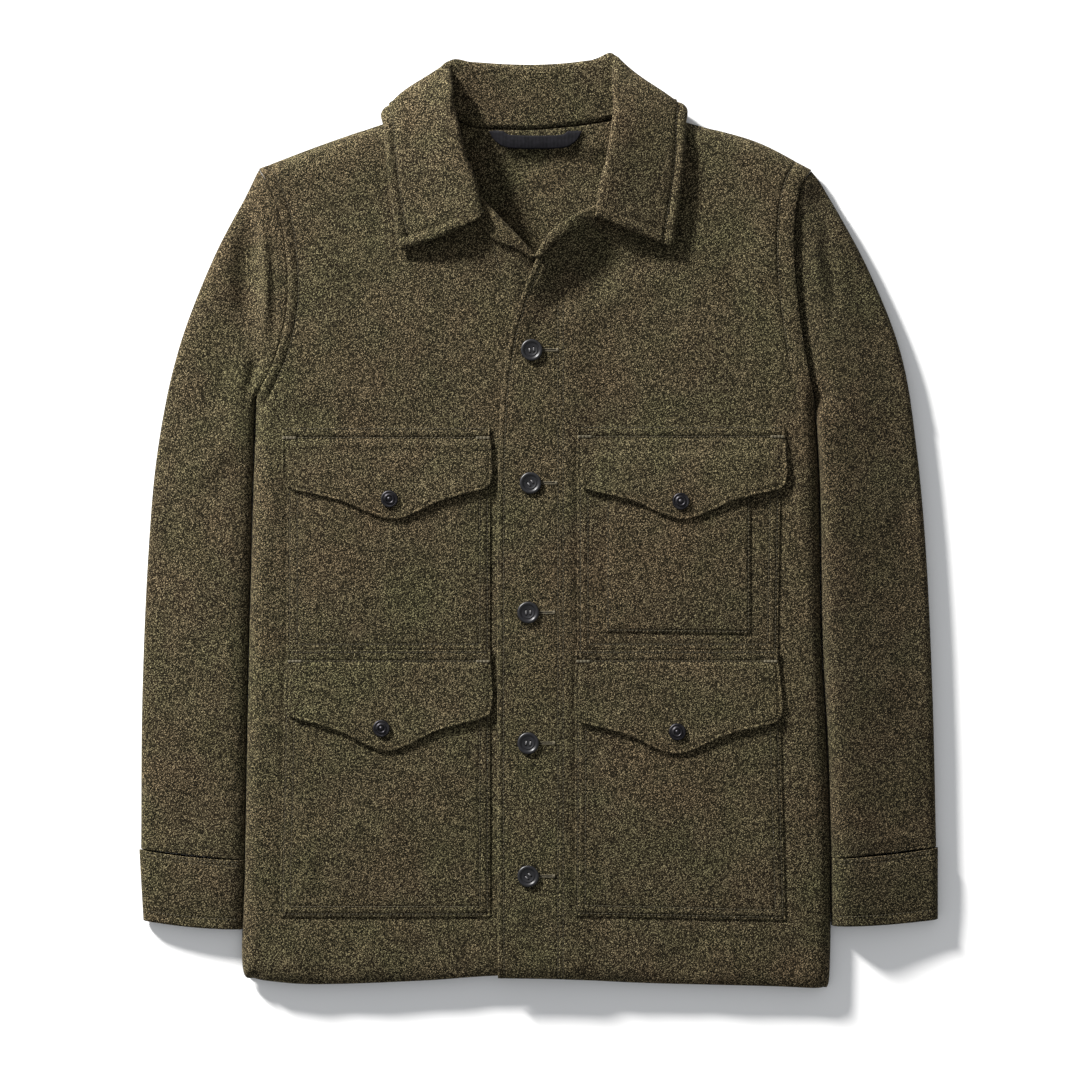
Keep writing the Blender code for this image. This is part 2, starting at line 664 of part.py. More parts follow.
def front_rows(side):
    """Shares up a front's outer side: close at the hem, even up the side, then as the sleeve's seam."""
    side_length = np.linalg.norm(np.diff(SIDES[side], axis=0), axis=1).sum()
    armhole_length = np.linalg.norm(np.diff(ARMHOLES[side], axis=0), axis=1).sum()
    whole = side_length + armhole_length
    low = [0.0, HEM_ROUND * 0.25 / whole]
    low += list(np.linspace(HEM_ROUND / whole, side_length / whole, 9)[:-1])
    return low + [(side_length + share * armhole_length) / whole for share in ARMHOLE_SHARES]


def make_front(side, material):
    """A front with its turned lapel. The lapel's rows bend over the roll and lie back on the front."""
    hem, top, edge, outer = front_outline(side)
    columns = FRONT_COLUMNS[side]
    high_x = [column.top_x for column in columns]
    low = np.vstack([edge[0], at_x(hem, [column.hem_x for column in columns]), outer[0]])
    high = np.vstack([edge[-1], at_x(top, high_x), outer[-1]])
    edge_pull = EDGE_PULLS + [0.0] * (len(low) - len(EDGE_PULLS))
    outer_pull = [0.0] * (len(low) - len(OUTER_PULLS)) + OUTER_PULLS
    rows = front_rows(side)
    plan_grid = filled(low, high, edge, outer, edge_pull, outer_pull, rows)
    lapel_count = high_x.index(ROLL_END_X[side]) + 2
    x = plan_grid[..., 0]
    y = plan_grid[..., 1]
    middle = np.dstack([x, y, front_bottom(side, x, y) + CLOTH / 2])
    lapel_edge = along(LAPEL_EDGES[side][::-1], np.linspace(0.0, 1.0, lapel_count))
    fold_rows = []
    turns = [math.radians(angle) for angle in LAPEL_TURNS]
    last = middle[-1]
    for turn in turns:
        row = last.copy()
        for column in range(lapel_count):
            towards = lapel_edge[column] - last[column, :2]
            towards = towards / np.linalg.norm(towards)
            row[column, :2] = last[column, :2] - towards * LAPEL_BEND * math.sin(turn)
            row[column, 2] = last[column, 2] + LAPEL_BEND * (1.0 - math.cos(turn))
        fold_rows.append(row)
    for share in (0.5, 1.0):
        row = last.copy()
        for column in range(lapel_count):
            place = last[column, :2] + (lapel_edge[column] - last[column, :2]) * share
            row[column, :2] = place
            under = front_bottom(side, place[0], place[1]) + CLOTH * 1.5
            row[column, 2] = under + 2 * LAPEL_BEND - CLOTH + share * 0.6
        fold_rows.append(row)
    grid = np.concatenate([middle, np.array(fold_rows)], axis=0)
    present = np.ones((grid.shape[0] - 1, grid.shape[1] - 1))
    present[len(rows) - 1:, lapel_count - 1:] = 0
    return wall("front_" + side, grid, CLOTH, material, present)


def sleeve_plan(side):
    """The plan of a sleeve: a function of the share across from its outer fold, and the share down.

    Each row across starts on the outer fold, follows the armhole seam or the underarm fold beside
    it, moved out in proportion, and ends on the underarm fold.
    """
    outer = plan(RIGHT_SLEEVE_OUTER if side == "right" else LEFT_SLEEVE_OUTER)
    inner = plan(RIGHT_SLEEVE_INNER if side == "right" else LEFT_SLEEVE_INNER)
    armhole = moved_along_normal(ARMHOLES[side], SLEEVE_GAP * INWARD[side])[::-1]
    beside_body = np.vstack([outer[0], armhole[1:-1], inner])
    length = np.concatenate([[0.0], np.cumsum(np.linalg.norm(np.diff(beside_body, axis=0), axis=1))])
    armhole_length = length[len(armhole) - 1]

    def place(across, down):
        fold = along(outer, [down])[0]
        start = np.interp(-fold[1], -beside_body[:, 1], length)
        end = armhole_length + (length[-1] - armhole_length) * down
        at = start + (end - start) * across
        x = np.interp(at, length, beside_body[:, 0])
        y = np.interp(at, length, beside_body[:, 1])
        shift = fold[0] - np.interp(start, length, beside_body[:, 0])
        return np.array((x + shift * (1.0 - across), y))

    return place


def make_sleeve(side, material):
    between = [1.0 - share for share in ARMHOLE_SHARES[-3:0:-1]]
    return tube("sleeve_" + side, sleeve_plan(side), SLEEVE_STATIONS, SLEEVE_HEIGHT, CLOTH, between, material)


def cuff_plan(side):
    """The plan of a cuff, between its four corners."""
    corners = RIGHT_CUFF if side == "right" else LEFT_CUFF
    outer_top, inner_top, outer_bottom, inner_bottom = [np.array((corner.x, corner.y)) for corner in corners]

    def place(across, down):
        high = outer_top + (inner_top - outer_top) * across
        low = outer_bottom + (inner_bottom - outer_bottom) * across
        point = high + (low - high) * down
        return point - np.array((0.0, CUFF_SAG * math.sin(math.pi * across)))

    return place


def make_cuff(side, material):
    return tube("cuff_" + side, cuff_plan(side), CUFF_STATIONS, CUFF_HEIGHT, CUFF_CLOTH, CUFF_SHARES, material)


def collar_section(station):
    """The middle line of the collar at one station, from the seam over the roll to the outer edge."""
    seam = np.array(station.seam, float)
    roll = np.array(station.roll, float)
    middle = np.array(station.middle, float)
    edge = np.array(station.edge, float)
    turn = math.radians(station.outward)
    outward = np.array((math.cos(turn), 0.0, math.sin(turn)))
    upward = roll - (seam + middle) / 2
    upward -= outward * np.dot(upward, outward)
    upward /= np.linalg.norm(upward)
    stand_end = roll - (upward + outward) * station.bend
    fall_start = roll + (outward - upward) * station.bend
    path = smooth_curve([seam, stand_end, roll, fall_start, middle, edge], per_span=8)
    return along(path, COLLAR_SHARES)


def make_collar(material):
    """The collar: its stand, roll and fall in one wall round the neck."""
    sections = np.array([collar_section(station) for station in COLLAR])
    between = smooth_curve(sections.reshape(len(COLLAR), -1), per_span=2)
    grid = between.reshape(len(between), -1, 3)
    grid[..., 2] = np.maximum(grid[..., 2], COLLAR_CLOTH / 2)
    return wall("collar", grid, COLLAR_CLOTH, material)


def make_loop(material):
    """The hanger loop, a flat tape on the inside of the back."""
    path = along(plan(LOOP_PATH), np.linspace(0.0, 1.0, 9))
    grid = np.stack([moved_along_normal(path, LOOP_WIDTH / 2), moved_along_normal(path, -LOOP_WIDTH / 2)])
    grid[..., 1] = np.minimum(grid[..., 1], LOOP_TOP_Y)

    def bottom(x, y):
        return CLOTH + back_rise(x, y) + 2 * SEAM_GAP

    return flat_wall("hanger_loop", grid, bottom, TAPE, material)


def pocket_grid(pocket, columns, rows):
    """Plan points over a patch pocket."""
    across = np.linspace(0.0, 1.0, columns)[None, :]
    up = np.linspace(0.0, 1.0, rows)[:, None]
    left = pocket.left_bottom + (pocket.left_top - pocket.left_bottom) * up
    right = pocket.right_bottom + (pocket.right_top - pocket.right_bottom) * up
    x = left + (right - left) * across
    bottom = pocket.bottom + pocket.slant * across
    y = bottom + (pocket.top - bottom) * up
    return np.dstack([x, y])


def side_of(name):
    return "right" if name.endswith("right") else "left"


def make_pocket(pocket, material):
    side = side_of(pocket.name)

    def bottom(x, y):
        return front_top(side, x, y) + SEAM_GAP

    return flat_wall(pocket.name, pocket_grid(pocket, 5, 5), bottom, CLOTH, material)


def make_pen_pocket(material):
    def bottom(x, y):
        return front_top("left", x, y) + CLOTH + 2 * SEAM_GAP

    return flat_wall(PEN_POCKET.name, pocket_grid(PEN_POCKET, 3, 3), bottom, CLOTH, material)


def flap_lower_edge(flap):
    """The lower edge of a flap, from its left side to its right, with a point between."""
    points = []
    for start, sign in ((flap.left, 1.0), (flap.right, -1.0)):
        half = [(start + (flap.point_x - start) * across, flap.corner + (flap.point_y - flap.corner) * down)
                for across, down in FLAP_EDGE]
        points.append(half)
    left_half, right_half = points
    return np.array(left_half + right_half[-2::-1])


def flap_bottom(name, x, y):
    """The underside of a flap: on the front at its top, then on the pocket and the pen pocket."""
    base = front_top(side_of(name), x, y) + SEAM_GAP
    layer = CLOTH + SEAM_GAP
    if "lower" in name:
        return base + layer
    over_pocket = 1.0 - smoothstep(FLAP_STEP_LOW, FLAP_STEP_HIGH, y)
    height = base + layer * over_pocket
    if name == "flap_upper_left":
        near, start, end, far = PEN_STEP_X
        across = smoothstep(near, start, x) * (1.0 - smoothstep(end, far, x))
        height = height + layer * across * (1.0 - smoothstep(PEN_STEP_LOW, PEN_STEP_HIGH, y))
    return height


def flap_grid(flap, between):
    """Plan points over a flap: straight rows down to its sides, then rows that follow its lower edge."""
    low = flap_lower_edge(flap)
    if flap.name == "flap_upper_left":
        low = np.vstack([low, at_x(low, PEN_STEP_X)])
        low = low[np.argsort(low[:, 0])]
    share = (low[:, 0] - flap.left) / (flap.right - flap.left)
    high_x = flap.left_top + (flap.right_top - flap.left_top) * share
    drop = flap.top - flap.side_y
    rows = []
    for fall in FLAP_STRAIGHT_ROWS:
        x = high_x + (low[:, 0] - high_x) * fall
        if flap.name == "flap_upper_left":
            inside = np.isin(low[:, 0], PEN_STEP_X)
            x = np.where(inside, low[:, 0], x)
        rows.append(np.stack([x, np.full(len(x), flap.top - drop * fall)], axis=1))
    last = rows[-1]
    for step in range(1, between + 1):
        rows.append(last + (low - last) * step / between)
    return np.array(rows)


def make_flap(flap, material):
    def bottom(x, y):
        return flap_bottom(flap.name, x, y)

    return flat_wall(flap.name, flap_grid(flap, 3), bottom, CLOTH, material)


def turned(name, profile, place, segments, material):
    """A round piece from a profile of radius and height, turned about a vertical axis."""
    vertices = []
    faces = []
    rings = []
    for radius, height in profile:
        if radius == 0.0:
            rings.append([len(vertices)])
            vertices.append((place[0], place[1], place[2] + height))
            continue
        ring = []
        for segment in range(segments):
            angle = 2.0 * math.pi * segment / segments
            x = place[0] + radius * math.cos(angle)
            y = place[1] + radius * math.sin(angle)
            ring.append(len(vertices))
            vertices.append((x, y, place[2] + height))
        rings.append(ring)
    for lower, upper in zip(rings, rings[1:]):
        for segment in range(segments):
            following = (segment + 1) % segments
            if len(lower) == 1:
                faces.append((lower[0], upper[following], upper[segment]))
            elif len(upper) == 1:
                faces.append((lower[segment], lower[following], upper[0]))
            else:
                faces.append((lower[segment], lower[following], upper[following], upper[segment]))
    return put_in_scene(name, vertices, faces, material)


def highest_under(piece, radius, height):
    """The highest point of a surface under a round piece."""
    turns = np.linspace(0.0, 2.0 * math.pi, 13)
    x = np.concatenate([[piece.x], piece.x + radius * np.cos(turns)])
    y = np.concatenate([[piece.y], piece.y + radius * np.sin(turns)])
    return float(np.max(height(x, y)))


def make_button(button, material):
    """A four-hole button with a raised rim, on the left front."""
    radius = BUTTON_DIAMETER / 2
    height = BUTTON_HEIGHT
    profile = [(radius * ring.radius, height * ring.height) for ring in BUTTON_PROFILE]
    seat = highest_under(button, radius, lambda x, y: front_top("left", x, y)) + SEAM_GAP
    thing = turned(button.name, profile, (button.x, button.y, seat), 18, material)
    reach = BUTTON_HOLE_SPACING / 2
    cutter_mesh = bpy.data.meshes.new(button.name + "_holes")
    work = bmesh.new()
    for along_x in (-reach, reach):
        for along_y in (-reach, reach):
            centre = Vector((button.x + along_x, button.y + along_y, seat + height / 2)) * MILLIMETRE
            bmesh.ops.create_cone(work, cap_ends=True, segments=6, radius1=BUTTON_HOLE / 2 * MILLIMETRE,
                                  radius2=BUTTON_HOLE / 2 * MILLIMETRE, depth=2 * height * MILLIMETRE,
                                  matrix=Matrix.Translation(centre))
    work.to_mesh(cutter_mesh)
    work.free()
    cutter = bpy.data.objects.new(button.name + "_holes", cutter_mesh)
    bpy.context.scene.collection.objects.link(cutter)
    cutter.hide_render = True
    cutter.display_type = "WIRE"
    cut = thing.modifiers.new("holes", "BOOLEAN")
    cut.operation = "DIFFERENCE"
    cut.object = cutter
    return thing


def make_snap(snap, material):
    """A snap cap: a low dome with a stepped rim, on its flap."""
    radius = SNAP_DIAMETER / 2
    height = SNAP_HEIGHT
    profile = [(radius * ring.radius, height * ring.height) for ring in SNAP_PROFILE]
    flap_name = snap.name.replace("snap", "flap")
    seat = highest_under(snap, radius, lambda x, y: flap_bottom(flap_name, x, y)) + CLOTH + SEAM_GAP
    return turned(snap.name, profile, (snap.x, snap.y, seat), 18, material)


def make_material(name, colour, roughness, metallic):
    material = bpy.data.materials.new(name)
    material.use_nodes = True
    shader = material.node_tree.nodes["Principled BSDF"]
    shader.inputs["Base Color"].default_value = (*colour, 1.0)
    shader.inputs["Roughness"].default_value = roughness
    shader.inputs["Metallic"].default_value = metallic
    return material


def build():
    remove_old_objects()
    wool = make_material("wool", (0.078, 0.066, 0.038), 0.95, 0.0)
    tape = make_material("loop_tape", (0.012, 0.011, 0.014), 0.8, 0.0)
    horn = make_material("button_plastic", (0.018, 0.016, 0.019), 0.3, 0.0)
    metal = make_material("snap_metal", (0.11, 0.11, 0.12), 0.3, 1.0)
    make_back(wool)
    for side in ("right", "left"):
        make_front(side, wool)
        make_sleeve(side, wool)
        make_cuff(side, wool)
    make_collar(wool)
    make_loop(tape)
    for pocket in POCKETS:
        make_pocket(pocket, wool)
    make_pen_pocket(wool)
    for flap in FLAPS:
        make_flap(flap, wool)
    for button in BUTTONS:
        make_button(button, horn)
    for snap in SNAPS:
        make_snap(snap, metal)


build()
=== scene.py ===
"""The looks of a wool coat laid flat on its back.

Each cloth piece is a thin shell on a fine grid, with its folds, rounded edges and stitched grooves.
Stitches, buttonholes, buttons and snaps are modelled too. Sizes are in millimetres until
put_in_scene turns them into metres. Left and right are the wearer's, so the left front is at +X.
"""

import math
from collections import namedtuple

import bmesh
import bpy
import numpy as np
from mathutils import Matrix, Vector


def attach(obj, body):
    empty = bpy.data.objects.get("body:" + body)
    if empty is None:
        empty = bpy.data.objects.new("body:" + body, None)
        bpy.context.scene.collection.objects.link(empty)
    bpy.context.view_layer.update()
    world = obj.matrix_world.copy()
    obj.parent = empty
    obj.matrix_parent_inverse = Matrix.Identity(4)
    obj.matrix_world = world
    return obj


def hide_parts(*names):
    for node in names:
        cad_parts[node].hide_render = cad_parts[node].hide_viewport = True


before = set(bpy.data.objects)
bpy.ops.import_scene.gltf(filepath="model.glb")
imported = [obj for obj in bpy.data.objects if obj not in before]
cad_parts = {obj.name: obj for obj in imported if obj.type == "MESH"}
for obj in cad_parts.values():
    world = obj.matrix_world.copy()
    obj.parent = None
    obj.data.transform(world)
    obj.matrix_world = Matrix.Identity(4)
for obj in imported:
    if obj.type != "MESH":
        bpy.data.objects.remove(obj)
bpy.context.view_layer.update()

MILLIMETRE = 0.001

# Cloth and gaps
CLOTH = 2.4
COLLAR_CLOTH = 3.0
CUFF_CLOTH = 2.6
SLEEVE_CLOTH = CLOTH * 0.8
TAPE = 1.2
POCKET_CLOTH = 1.2
PEN_CLOTH = 1.1
FLAP_CLOTH = 1.6
LAYER_GAP = 0.15
SEAM_GAP = 0.3
SLEEVE_GAP = 0.2
INNER_GAP = 3.2
# How much fuller the coat lies than its plain solids
LOFT = 7.5

FRONT_BOTTOM = CLOTH + INNER_GAP + LOFT
EDGE_DROP = INNER_GAP + LOFT - 2 * SEAM_GAP
EDGE_ROUND = 13.0
SHOULDER_ROUND = 20.0
HEM_DROP = 4.4
HEM_ROUND = 16.0

UNDERLAP_X = 20.0
STEP_START_X = 21.5
STEP_END_X = 56.0
OVERLAP_RISE = CLOTH + SEAM_GAP
# The stitched rows beside the front edge, and where they end under the lapel
PLACKET_ROWS = (17.0, 21.6)
PLACKET_TOP = 196.0

NECK_RISE = COLLAR_CLOTH + 3 * SEAM_GAP
NECK_RISE_Y = (314.0, 333.0)
NECK_RISE_X = (140.0, 172.0)

LAPEL_REACH = 25.0
LAPEL_BEND = 1.55
ROLL_END_X = {"right": -53, "left": 53}

# How far the grid's columns bend to a free edge, from the first column, and to an outer side, up to
# the last
EDGE_PULLS = (1.0, 0.62, 0.3, 0.0)
OUTER_PULLS = (0.0, 0.5, 0.86, 0.97, 1.0)
OUTER_CUTS = 7
BACK_PULLS = (1.0, 0.7, 0.3, 0.0)
BACK_INSET = 0.5
BACK_SPACING = 5.0

CUFF_SAG = 1.6
CUFF_LENGTH = 62.0
CUFF_ROWS = (1.9, 5.2, 53.0)
FOLD_MIDDLE = 6.0
OUTER_FOLD_ROUND = 7.0
INNER_FOLD_ROUND = 13.0
# How far a sleeve's cap lies below the front at the armhole, and how wide that dip is
CAP_DROP = {"right": 0.6, "left": 4.6}
CAP_REACH = 15.0
# The armhole seam shows on the body side of each sleeve fold
ARMHOLE_ROW = {"right": 9.5, "left": 15.0}
INWARD = {"right": 1.0, "left": -1.0}

BUTTON_DIAMETER = 19.0
BUTTON_HEIGHT = 3.0
BUTTON_PRESS = 1.0
HOLE_RADIUS = 0.95
HOLE_RING = 2.6
SNAP_DIAMETER = 15.0
SNAP_HEIGHT = 3.6
LOOP_WIDTH = 11.5
LOOP_TOP_Y = 342.4

STITCH = 2.5
STITCH_SPACING = 3.3
STITCH_RADIUS = 0.33

# Patch pockets: x of the four corners, the top, the bottom and how much lower the left end is, then
# the swell of the cloth, its thickness, its stitched rows, and how deep and wide its edge is sewn in
Pocket = namedtuple("Pocket", "name left_top left_bottom right_top right_bottom top bottom slant"
                    " puff cloth rows press", defaults=(0.7, POCKET_CLOTH, (2.6, 9.2), (0.75, 3.6)))
POCKETS = {pocket.name: pocket for pocket in (
    Pocket("pocket_upper_right", -219.5, -220, -42, -42, 62, -116, 0),
    Pocket("pocket_upper_left", 34, 34, 212, 209, 62, -116, 0),
    Pocket("pocket_lower_right", -221.5, -226, -42, -42, -121, -345, 0),
    Pocket("pocket_lower_left", 32.5, 31.5, 210, 216, -121, -344, -4),
    Pocket("pocket_pen", 59, 59, 185, 185, 54, -96, -1.5, 0.4, PEN_CLOTH, (1.8,), (0.5, 3.0)),
)}
# Flaps: x of the top's ends and of the sides, then the top, the corners, the point and where the
# straight rows end, and how far the free edge stands off its pocket, from its left end to its right
Flap = namedtuple("Flap", "name left_top right_top left right top corner point_x point_y side_y lift")
FLAPS = [
    Flap("flap_upper_right", -224, -42, -224, -40, 83, 33, -126, 2, 45, (0.2, 0.5, 0.9, 0.5, 1.3, 2.2, 1.6)),
    Flap("flap_upper_left", 34, 215, 33, 217.5, 84, 33, 126, 2, 45, (1.4, 1.8, 1.0, 0.5, 1.0, 1.9, 1.5)),
    Flap("flap_lower_right", -219, -42, -222, -39.5, -112, -166, -132, -200, -154,
         (0.6, 1.4, 1.3, 0.5, 1.2, 2.0, 1.7)),
    Flap("flap_lower_left", 32.5, 209, 31, 213.5, -112, -171, 120, -202.5, -160,
         (1.2, 1.6, 1.1, 0.5, 1.1, 1.6, 1.0)),
]
# Half of a flap's lower edge: the share across to its point, and the share down to it
FLAP_EDGE = [(0.0, -0.36), (0.025, 0.0), (0.1, 0.16), (0.3, 0.3), (0.55, 0.5), (0.8, 0.84), (1.0, 1.0)]
# Where an upper flap steps over the pockets under it
FLAP_STEP_Y = (64.2, 74.0)
PEN_STEP_Y = (54.5, 64.2)
PEN_STEP_X = (46.0, 57.0, 187.0, 198.0)

Round = namedtuple("Round", "name x y turn")
BUTTONS = [Round("button_1", -6, 150, 8), Round("button_2", -7, 34, 40), Round("button_3", -9, -79, 3),
           Round("button_4", -9, -193, -6), Round("button_5", -9, -309, 47)]
SNAPS = [Round("snap_upper_right", -130, 20, 0), Round("snap_upper_left", 124, 18, 0),
         Round("snap_lower_right", -137, -180, 0), Round("snap_lower_left", 121, -183, 0)]
# Half sections, as shares of the radius and of the height
BUTTON_PROFILE = [
    (0.0, 0.0), (0.55, 0.0), (0.8, 0.1), (0.95, 0.34), (1.0, 0.56), (0.99, 0.74), (0.955, 0.9),
    (0.9, 0.985), (0.84, 1.0), (0.78, 0.96), (0.73, 0.86), (0.69, 0.7), (0.655, 0.56), (0.62, 0.54),
    (0.585, 0.6), (0.55, 0.66), (0.51, 0.66), (0.46, 0.59), (0.4, 0.53), (0.2, 0.5), (0.0, 0.49),
]
SNAP_PROFILE = [
    (0.0, 0.0), (0.86, 0.0), (0.95, 0.08), (1.0, 0.24), (1.0, 0.4), (0.97, 0.56), (0.92, 0.66), (0.86, 0.7),
    (0.8, 0.67), (0.75, 0.6), (0.7, 0.56), (0.65, 0.58), (0.61, 0.66), (0.57, 0.8), (0.53, 0.88),
    (0.48, 0.9), (0.42, 0.84), (0.37, 0.7), (0.33, 0.62), (0.29, 0.65), (0.24, 0.78), (0.17, 0.91),
    (0.09, 0.98), (0.0, 1.0),
]

# Distances from a free edge at which a grid has points, to round the edge and hold its stitching
EDGE_MARKS = (0.0, 0.25, 0.7, 1.4, 2.2, 3.0, 3.8, 4.8, 6.0, 7.2, 8.2, 9.2, 10.2, 11.6, 13.6)
FOLD_MARKS = (0.0, 0.3, 0.8, 1.6, 2.8, 4.2, 6.0, 8.0, 10.0, 12.4)
SEAM_MARKS = (0.0, 0.7, 1.6, 3.2)
TOP_MARKS = (0.0, 0.6, 1.6, 3.2)
# Shares of the collar's section at which its grid has points
COLLAR_MARKS = (
    0.0, 0.03, 0.06, 0.1, 0.14, 0.18, 0.21, 0.235, 0.255, 0.275, 0.29, 0.305, 0.32, 0.335, 0.35,
    0.37, 0.39, 0.42, 0.45, 0.48, 0.51, 0.545, 0.58, 0.615, 0.65, 0.68, 0.71, 0.74, 0.765, 0.79,
    0.81, 0.826, 0.842, 0.858, 0.875, 0.892, 0.91, 0.93, 0.95, 0.965, 0.98, 0.991, 0.997, 1.0,
)


def smoothstep(low, high, value):
    share = np.clip((value - low) / (high - low), 0.0, 1.0)
    return share * share * (3.0 - 2.0 * share)


def bell(distance, width):
    return np.exp(-(distance / width) ** 2)


def unit(vectors):
    return vectors / np.maximum(np.linalg.norm(vectors, axis=-1, keepdims=True), 1e-9)


def smooth_curve(points, per_span=12):
    """Points along a Catmull-Rom curve through the given points."""
    knots = np.asarray(points, float)
    padded = np.vstack([2.0 * knots[0] - knots[1], knots, 2.0 * knots[-1] - knots[-2]])
    curve = []
    for index in range(1, len(padded) - 2):
        before, start, end, after = padded[index - 1:index + 3]
        for step in range(per_span):
            t = step / per_span
            curve.append(0.5 * (2.0 * start + (end - before) * t
                                + (2.0 * before - 5.0 * start + 4.0 * end - after) * t * t
                                + (3.0 * start - before - 3.0 * end + after) * t ** 3))
    curve.append(padded[-2])
    return np.array(curve)


def both(**points):
    """A smooth curve for each side."""
    return {side: smooth_curve(table) for side, table in points.items()}


def lengths_along(curve):
    steps = np.linalg.norm(np.diff(curve, axis=0), axis=1)
    return np.concatenate([[0.0], np.cumsum(steps)])


def along(curve, shares):
    """Points at the given shares of a curve's length."""
    length = lengths_along(curve)
    wanted = np.asarray(shares) * length[-1]
    return np.stack([np.interp(wanted, length, values) for values in curve.T], axis=1)


def nearest_on(curve, x, y):
    """How far each plan point is from a plan curve, and at what share of the curve's length."""
    length = lengths_along(curve)
    points = np.stack([np.ravel(x), np.ravel(y)], axis=-1)
    distance = np.full(len(points), 1e9)
    share = np.zeros(len(points))
    for index, start in enumerate(curve[:-1]):
        span = curve[index + 1] - start
        offset = points - start
        part = np.clip((offset @ span) / np.maximum((span * span).sum(), 1e-12), 0.0, 1.0)
        away = np.hypot(offset[:, 0] - part * span[0], offset[:, 1] - part * span[1])
        closer = away < distance
        distance[closer] = away[closer]
        share[closer] = (length[index] + part[closer] * (length[index + 1] - length[index])) / length[-1]
    return distance.reshape(np.shape(x)), share.reshape(np.shape(x))


def distance_to(curve, x, y):
    return nearest_on(curve, x, y)[0]


def filled(low, high, left, right, left_pull, right_pull, rows):
    """A grid of plan points between a low and a high row, bent to its side curves by the pulls."""
    v = np.asarray(rows)[:, None, None]
    grid = (1 - v) * low[None] + v * high[None]
    for curve, end, pull in ((left, 0, left_pull), (right, -1, right_pull)):
        bend = along(curve, rows)[:, None] - ((1 - v) * low[end] + v * high[end])
        grid = grid + bend * pull[None, :, None]
    return grid


def shares_at_x(curve, x):
    """The shares at which a plan curve that runs sideways comes nearest to its points at the given x."""
    order = np.argsort(curve[:, 0])
    return nearest_on(curve, x, np.interp(x, curve[order, 0], curve[order, 1]))[1]


def moved_along_normal(curve, distance):
    """A plan curve moved sideways, to its left as it runs."""
    tangent = unit(np.gradient(curve, axis=0))
    return curve + np.stack([-tangent[:, 1], tangent[:, 0]], axis=1) * distance


def without_repeats(*curves):
    """The given curves joined, less the points that lie on the one before."""
    curve = np.vstack(curves)
    return curve[np.concatenate([[True], np.linalg.norm(np.diff(curve, axis=0), axis=1) > 1e-6])]


def marks_over(length, step, near=EDGE_MARKS, far=EDGE_MARKS):
    """Places from 0 to length: fine marks at both ends and even steps between them."""
    start = near[-1]
    end = length - far[-1]
    count = max(1, int(round((end - start) / step)))
    between = np.linspace(start, end, count + 1)
    return np.concatenate([near[:-1], between, length - np.array(far[:-1])[::-1]])


# The body's outlines as smooth curves, side and armhole from the hem up, in x and y
SIDES = both(
    right=[
        (-248, -400), (-258.5, -388), (-256.5, -296), (-254, -156), (-252, -68), (-249, 37), (-247, 108)
    ],
    left=[(249, -407.8), (254, -396), (255, -300), (252, -200), (247, -103), (245, 25), (241, 107)],
)
ARMHOLES = both(
    right=[(-247, 108), (-228, 150), (-219, 199), (-224, 259), (-235, 292), (-245, 309)],
    left=[(241, 107), (231.5, 158), (224.5, 215), (224, 262), (229, 292), (239, 308)],
)
SHOULDERS = both(
    right=[(-245, 309), (-190, 330), (-137, 348), (-88, 363)],
    left=[(239, 308), (190, 333), (130, 349.6), (86, 365)],
)
NECKLINES = both(
    right=[(-88, 363), (-87, 340), (-77, 312), (-53, 283)],
    left=[(86, 365), (84, 340), (75, 308), (53, 275)],
)
ROLLS = both(
    right=[(-53, 283), (-36, 264), (-16, 244), (-1.5, 229)],
    left=[(53, 275), (31, 264), (12, 250), (-1.5, 230)],
)
LAPEL_EDGES = both(
    right=[(-55, 267), (-41, 247), (-22, 240), (-4.5, 227.5)],
    left=[(49, 258), (28, 252.5), (13, 242), (0.5, 228)],
)
FRONT_EDGES = both(
    right=[(UNDERLAP_X, -397), (UNDERLAP_X, -100), (UNDERLAP_X, 178), (13, 208), (-1.5, 229)],
    left=[(-35.5, -398.5), (-36, -200), (-35, 60), (-28, 145), (-17, 190), (-1.5, 230)],
)
HEMS = both(
    right=[(-248, -400), (-196, -404), (-104, -401), (-36, -396.5), (UNDERLAP_X, -397)],
    left=[(249, -407.8), (196, -405.5), (96, -403), (22, -399.5), (-35.5, -398.5)],
)
BACK_NECK = smooth_curve([
    (-88, 363), (-58, 346.2), (0, 344.3), (58, 351.1), (86, 365)
])
# The stitched row of the right front that shows beside the opening
OPENING_ROW = smooth_curve([
    (-40.5, 243), (-35.5, 226), (-29.5, 207), (-22.5, 189)
])
LOOP_PATH = smooth_curve([
    (-38.5, 345), (-33, 336.8), (-22, 333), (17, 333), (28, 336.8), (33.5, 345)
])

# Each sleeve's folds, from the shoulder tip or the underarm down to the cuff seam
SLEEVE_OUTERS = both(
    right=[
        (-245, 309), (-257, 285), (-286, 229), (-316, 150), (-334, 63), (-342.5, -33), (-347.5, -156),
        (-348.5, -286)
    ],
    left=[
        (239, 308), (252, 289), (289, 221), (318, 146), (331.5, 63), (340, -33), (345.5, -156),
        (348.5, -284)
    ],
)
SLEEVE_INNERS = both(
    right=[(-248.3, 106.5), (-250.4, 37), (-253.2, -68), (-255.2, -156), (-257.6, -295.5)],
    left=[(242.3, 105.5), (246.2, 25), (248.3, -103), (253.2, -200), (255.6, -293.5)],
)
# The corners of each cuff: outer top, inner top, outer bottom and inner bottom
CUFFS = {
    "right": [(-350, -287), (-257.5, -296.2), (-346.5, -349), (-259.4, -356.5)],
    "left": [(350, -285), (255.8, -294.2), (350, -347.5), (256.4, -353)],
}
# The top of each sleeve, by the share across from its outer fold
CROWNS = {
    "right": [(0, 9), (0.2, 11.2), (0.5, 12.8), (0.8, 13.4), (1, 11.6)],
    "left": [(0, 12.8), (0.2, 13.6), (0.5, 16.4), (0.8, 19.6), (1, 18.6)],
}
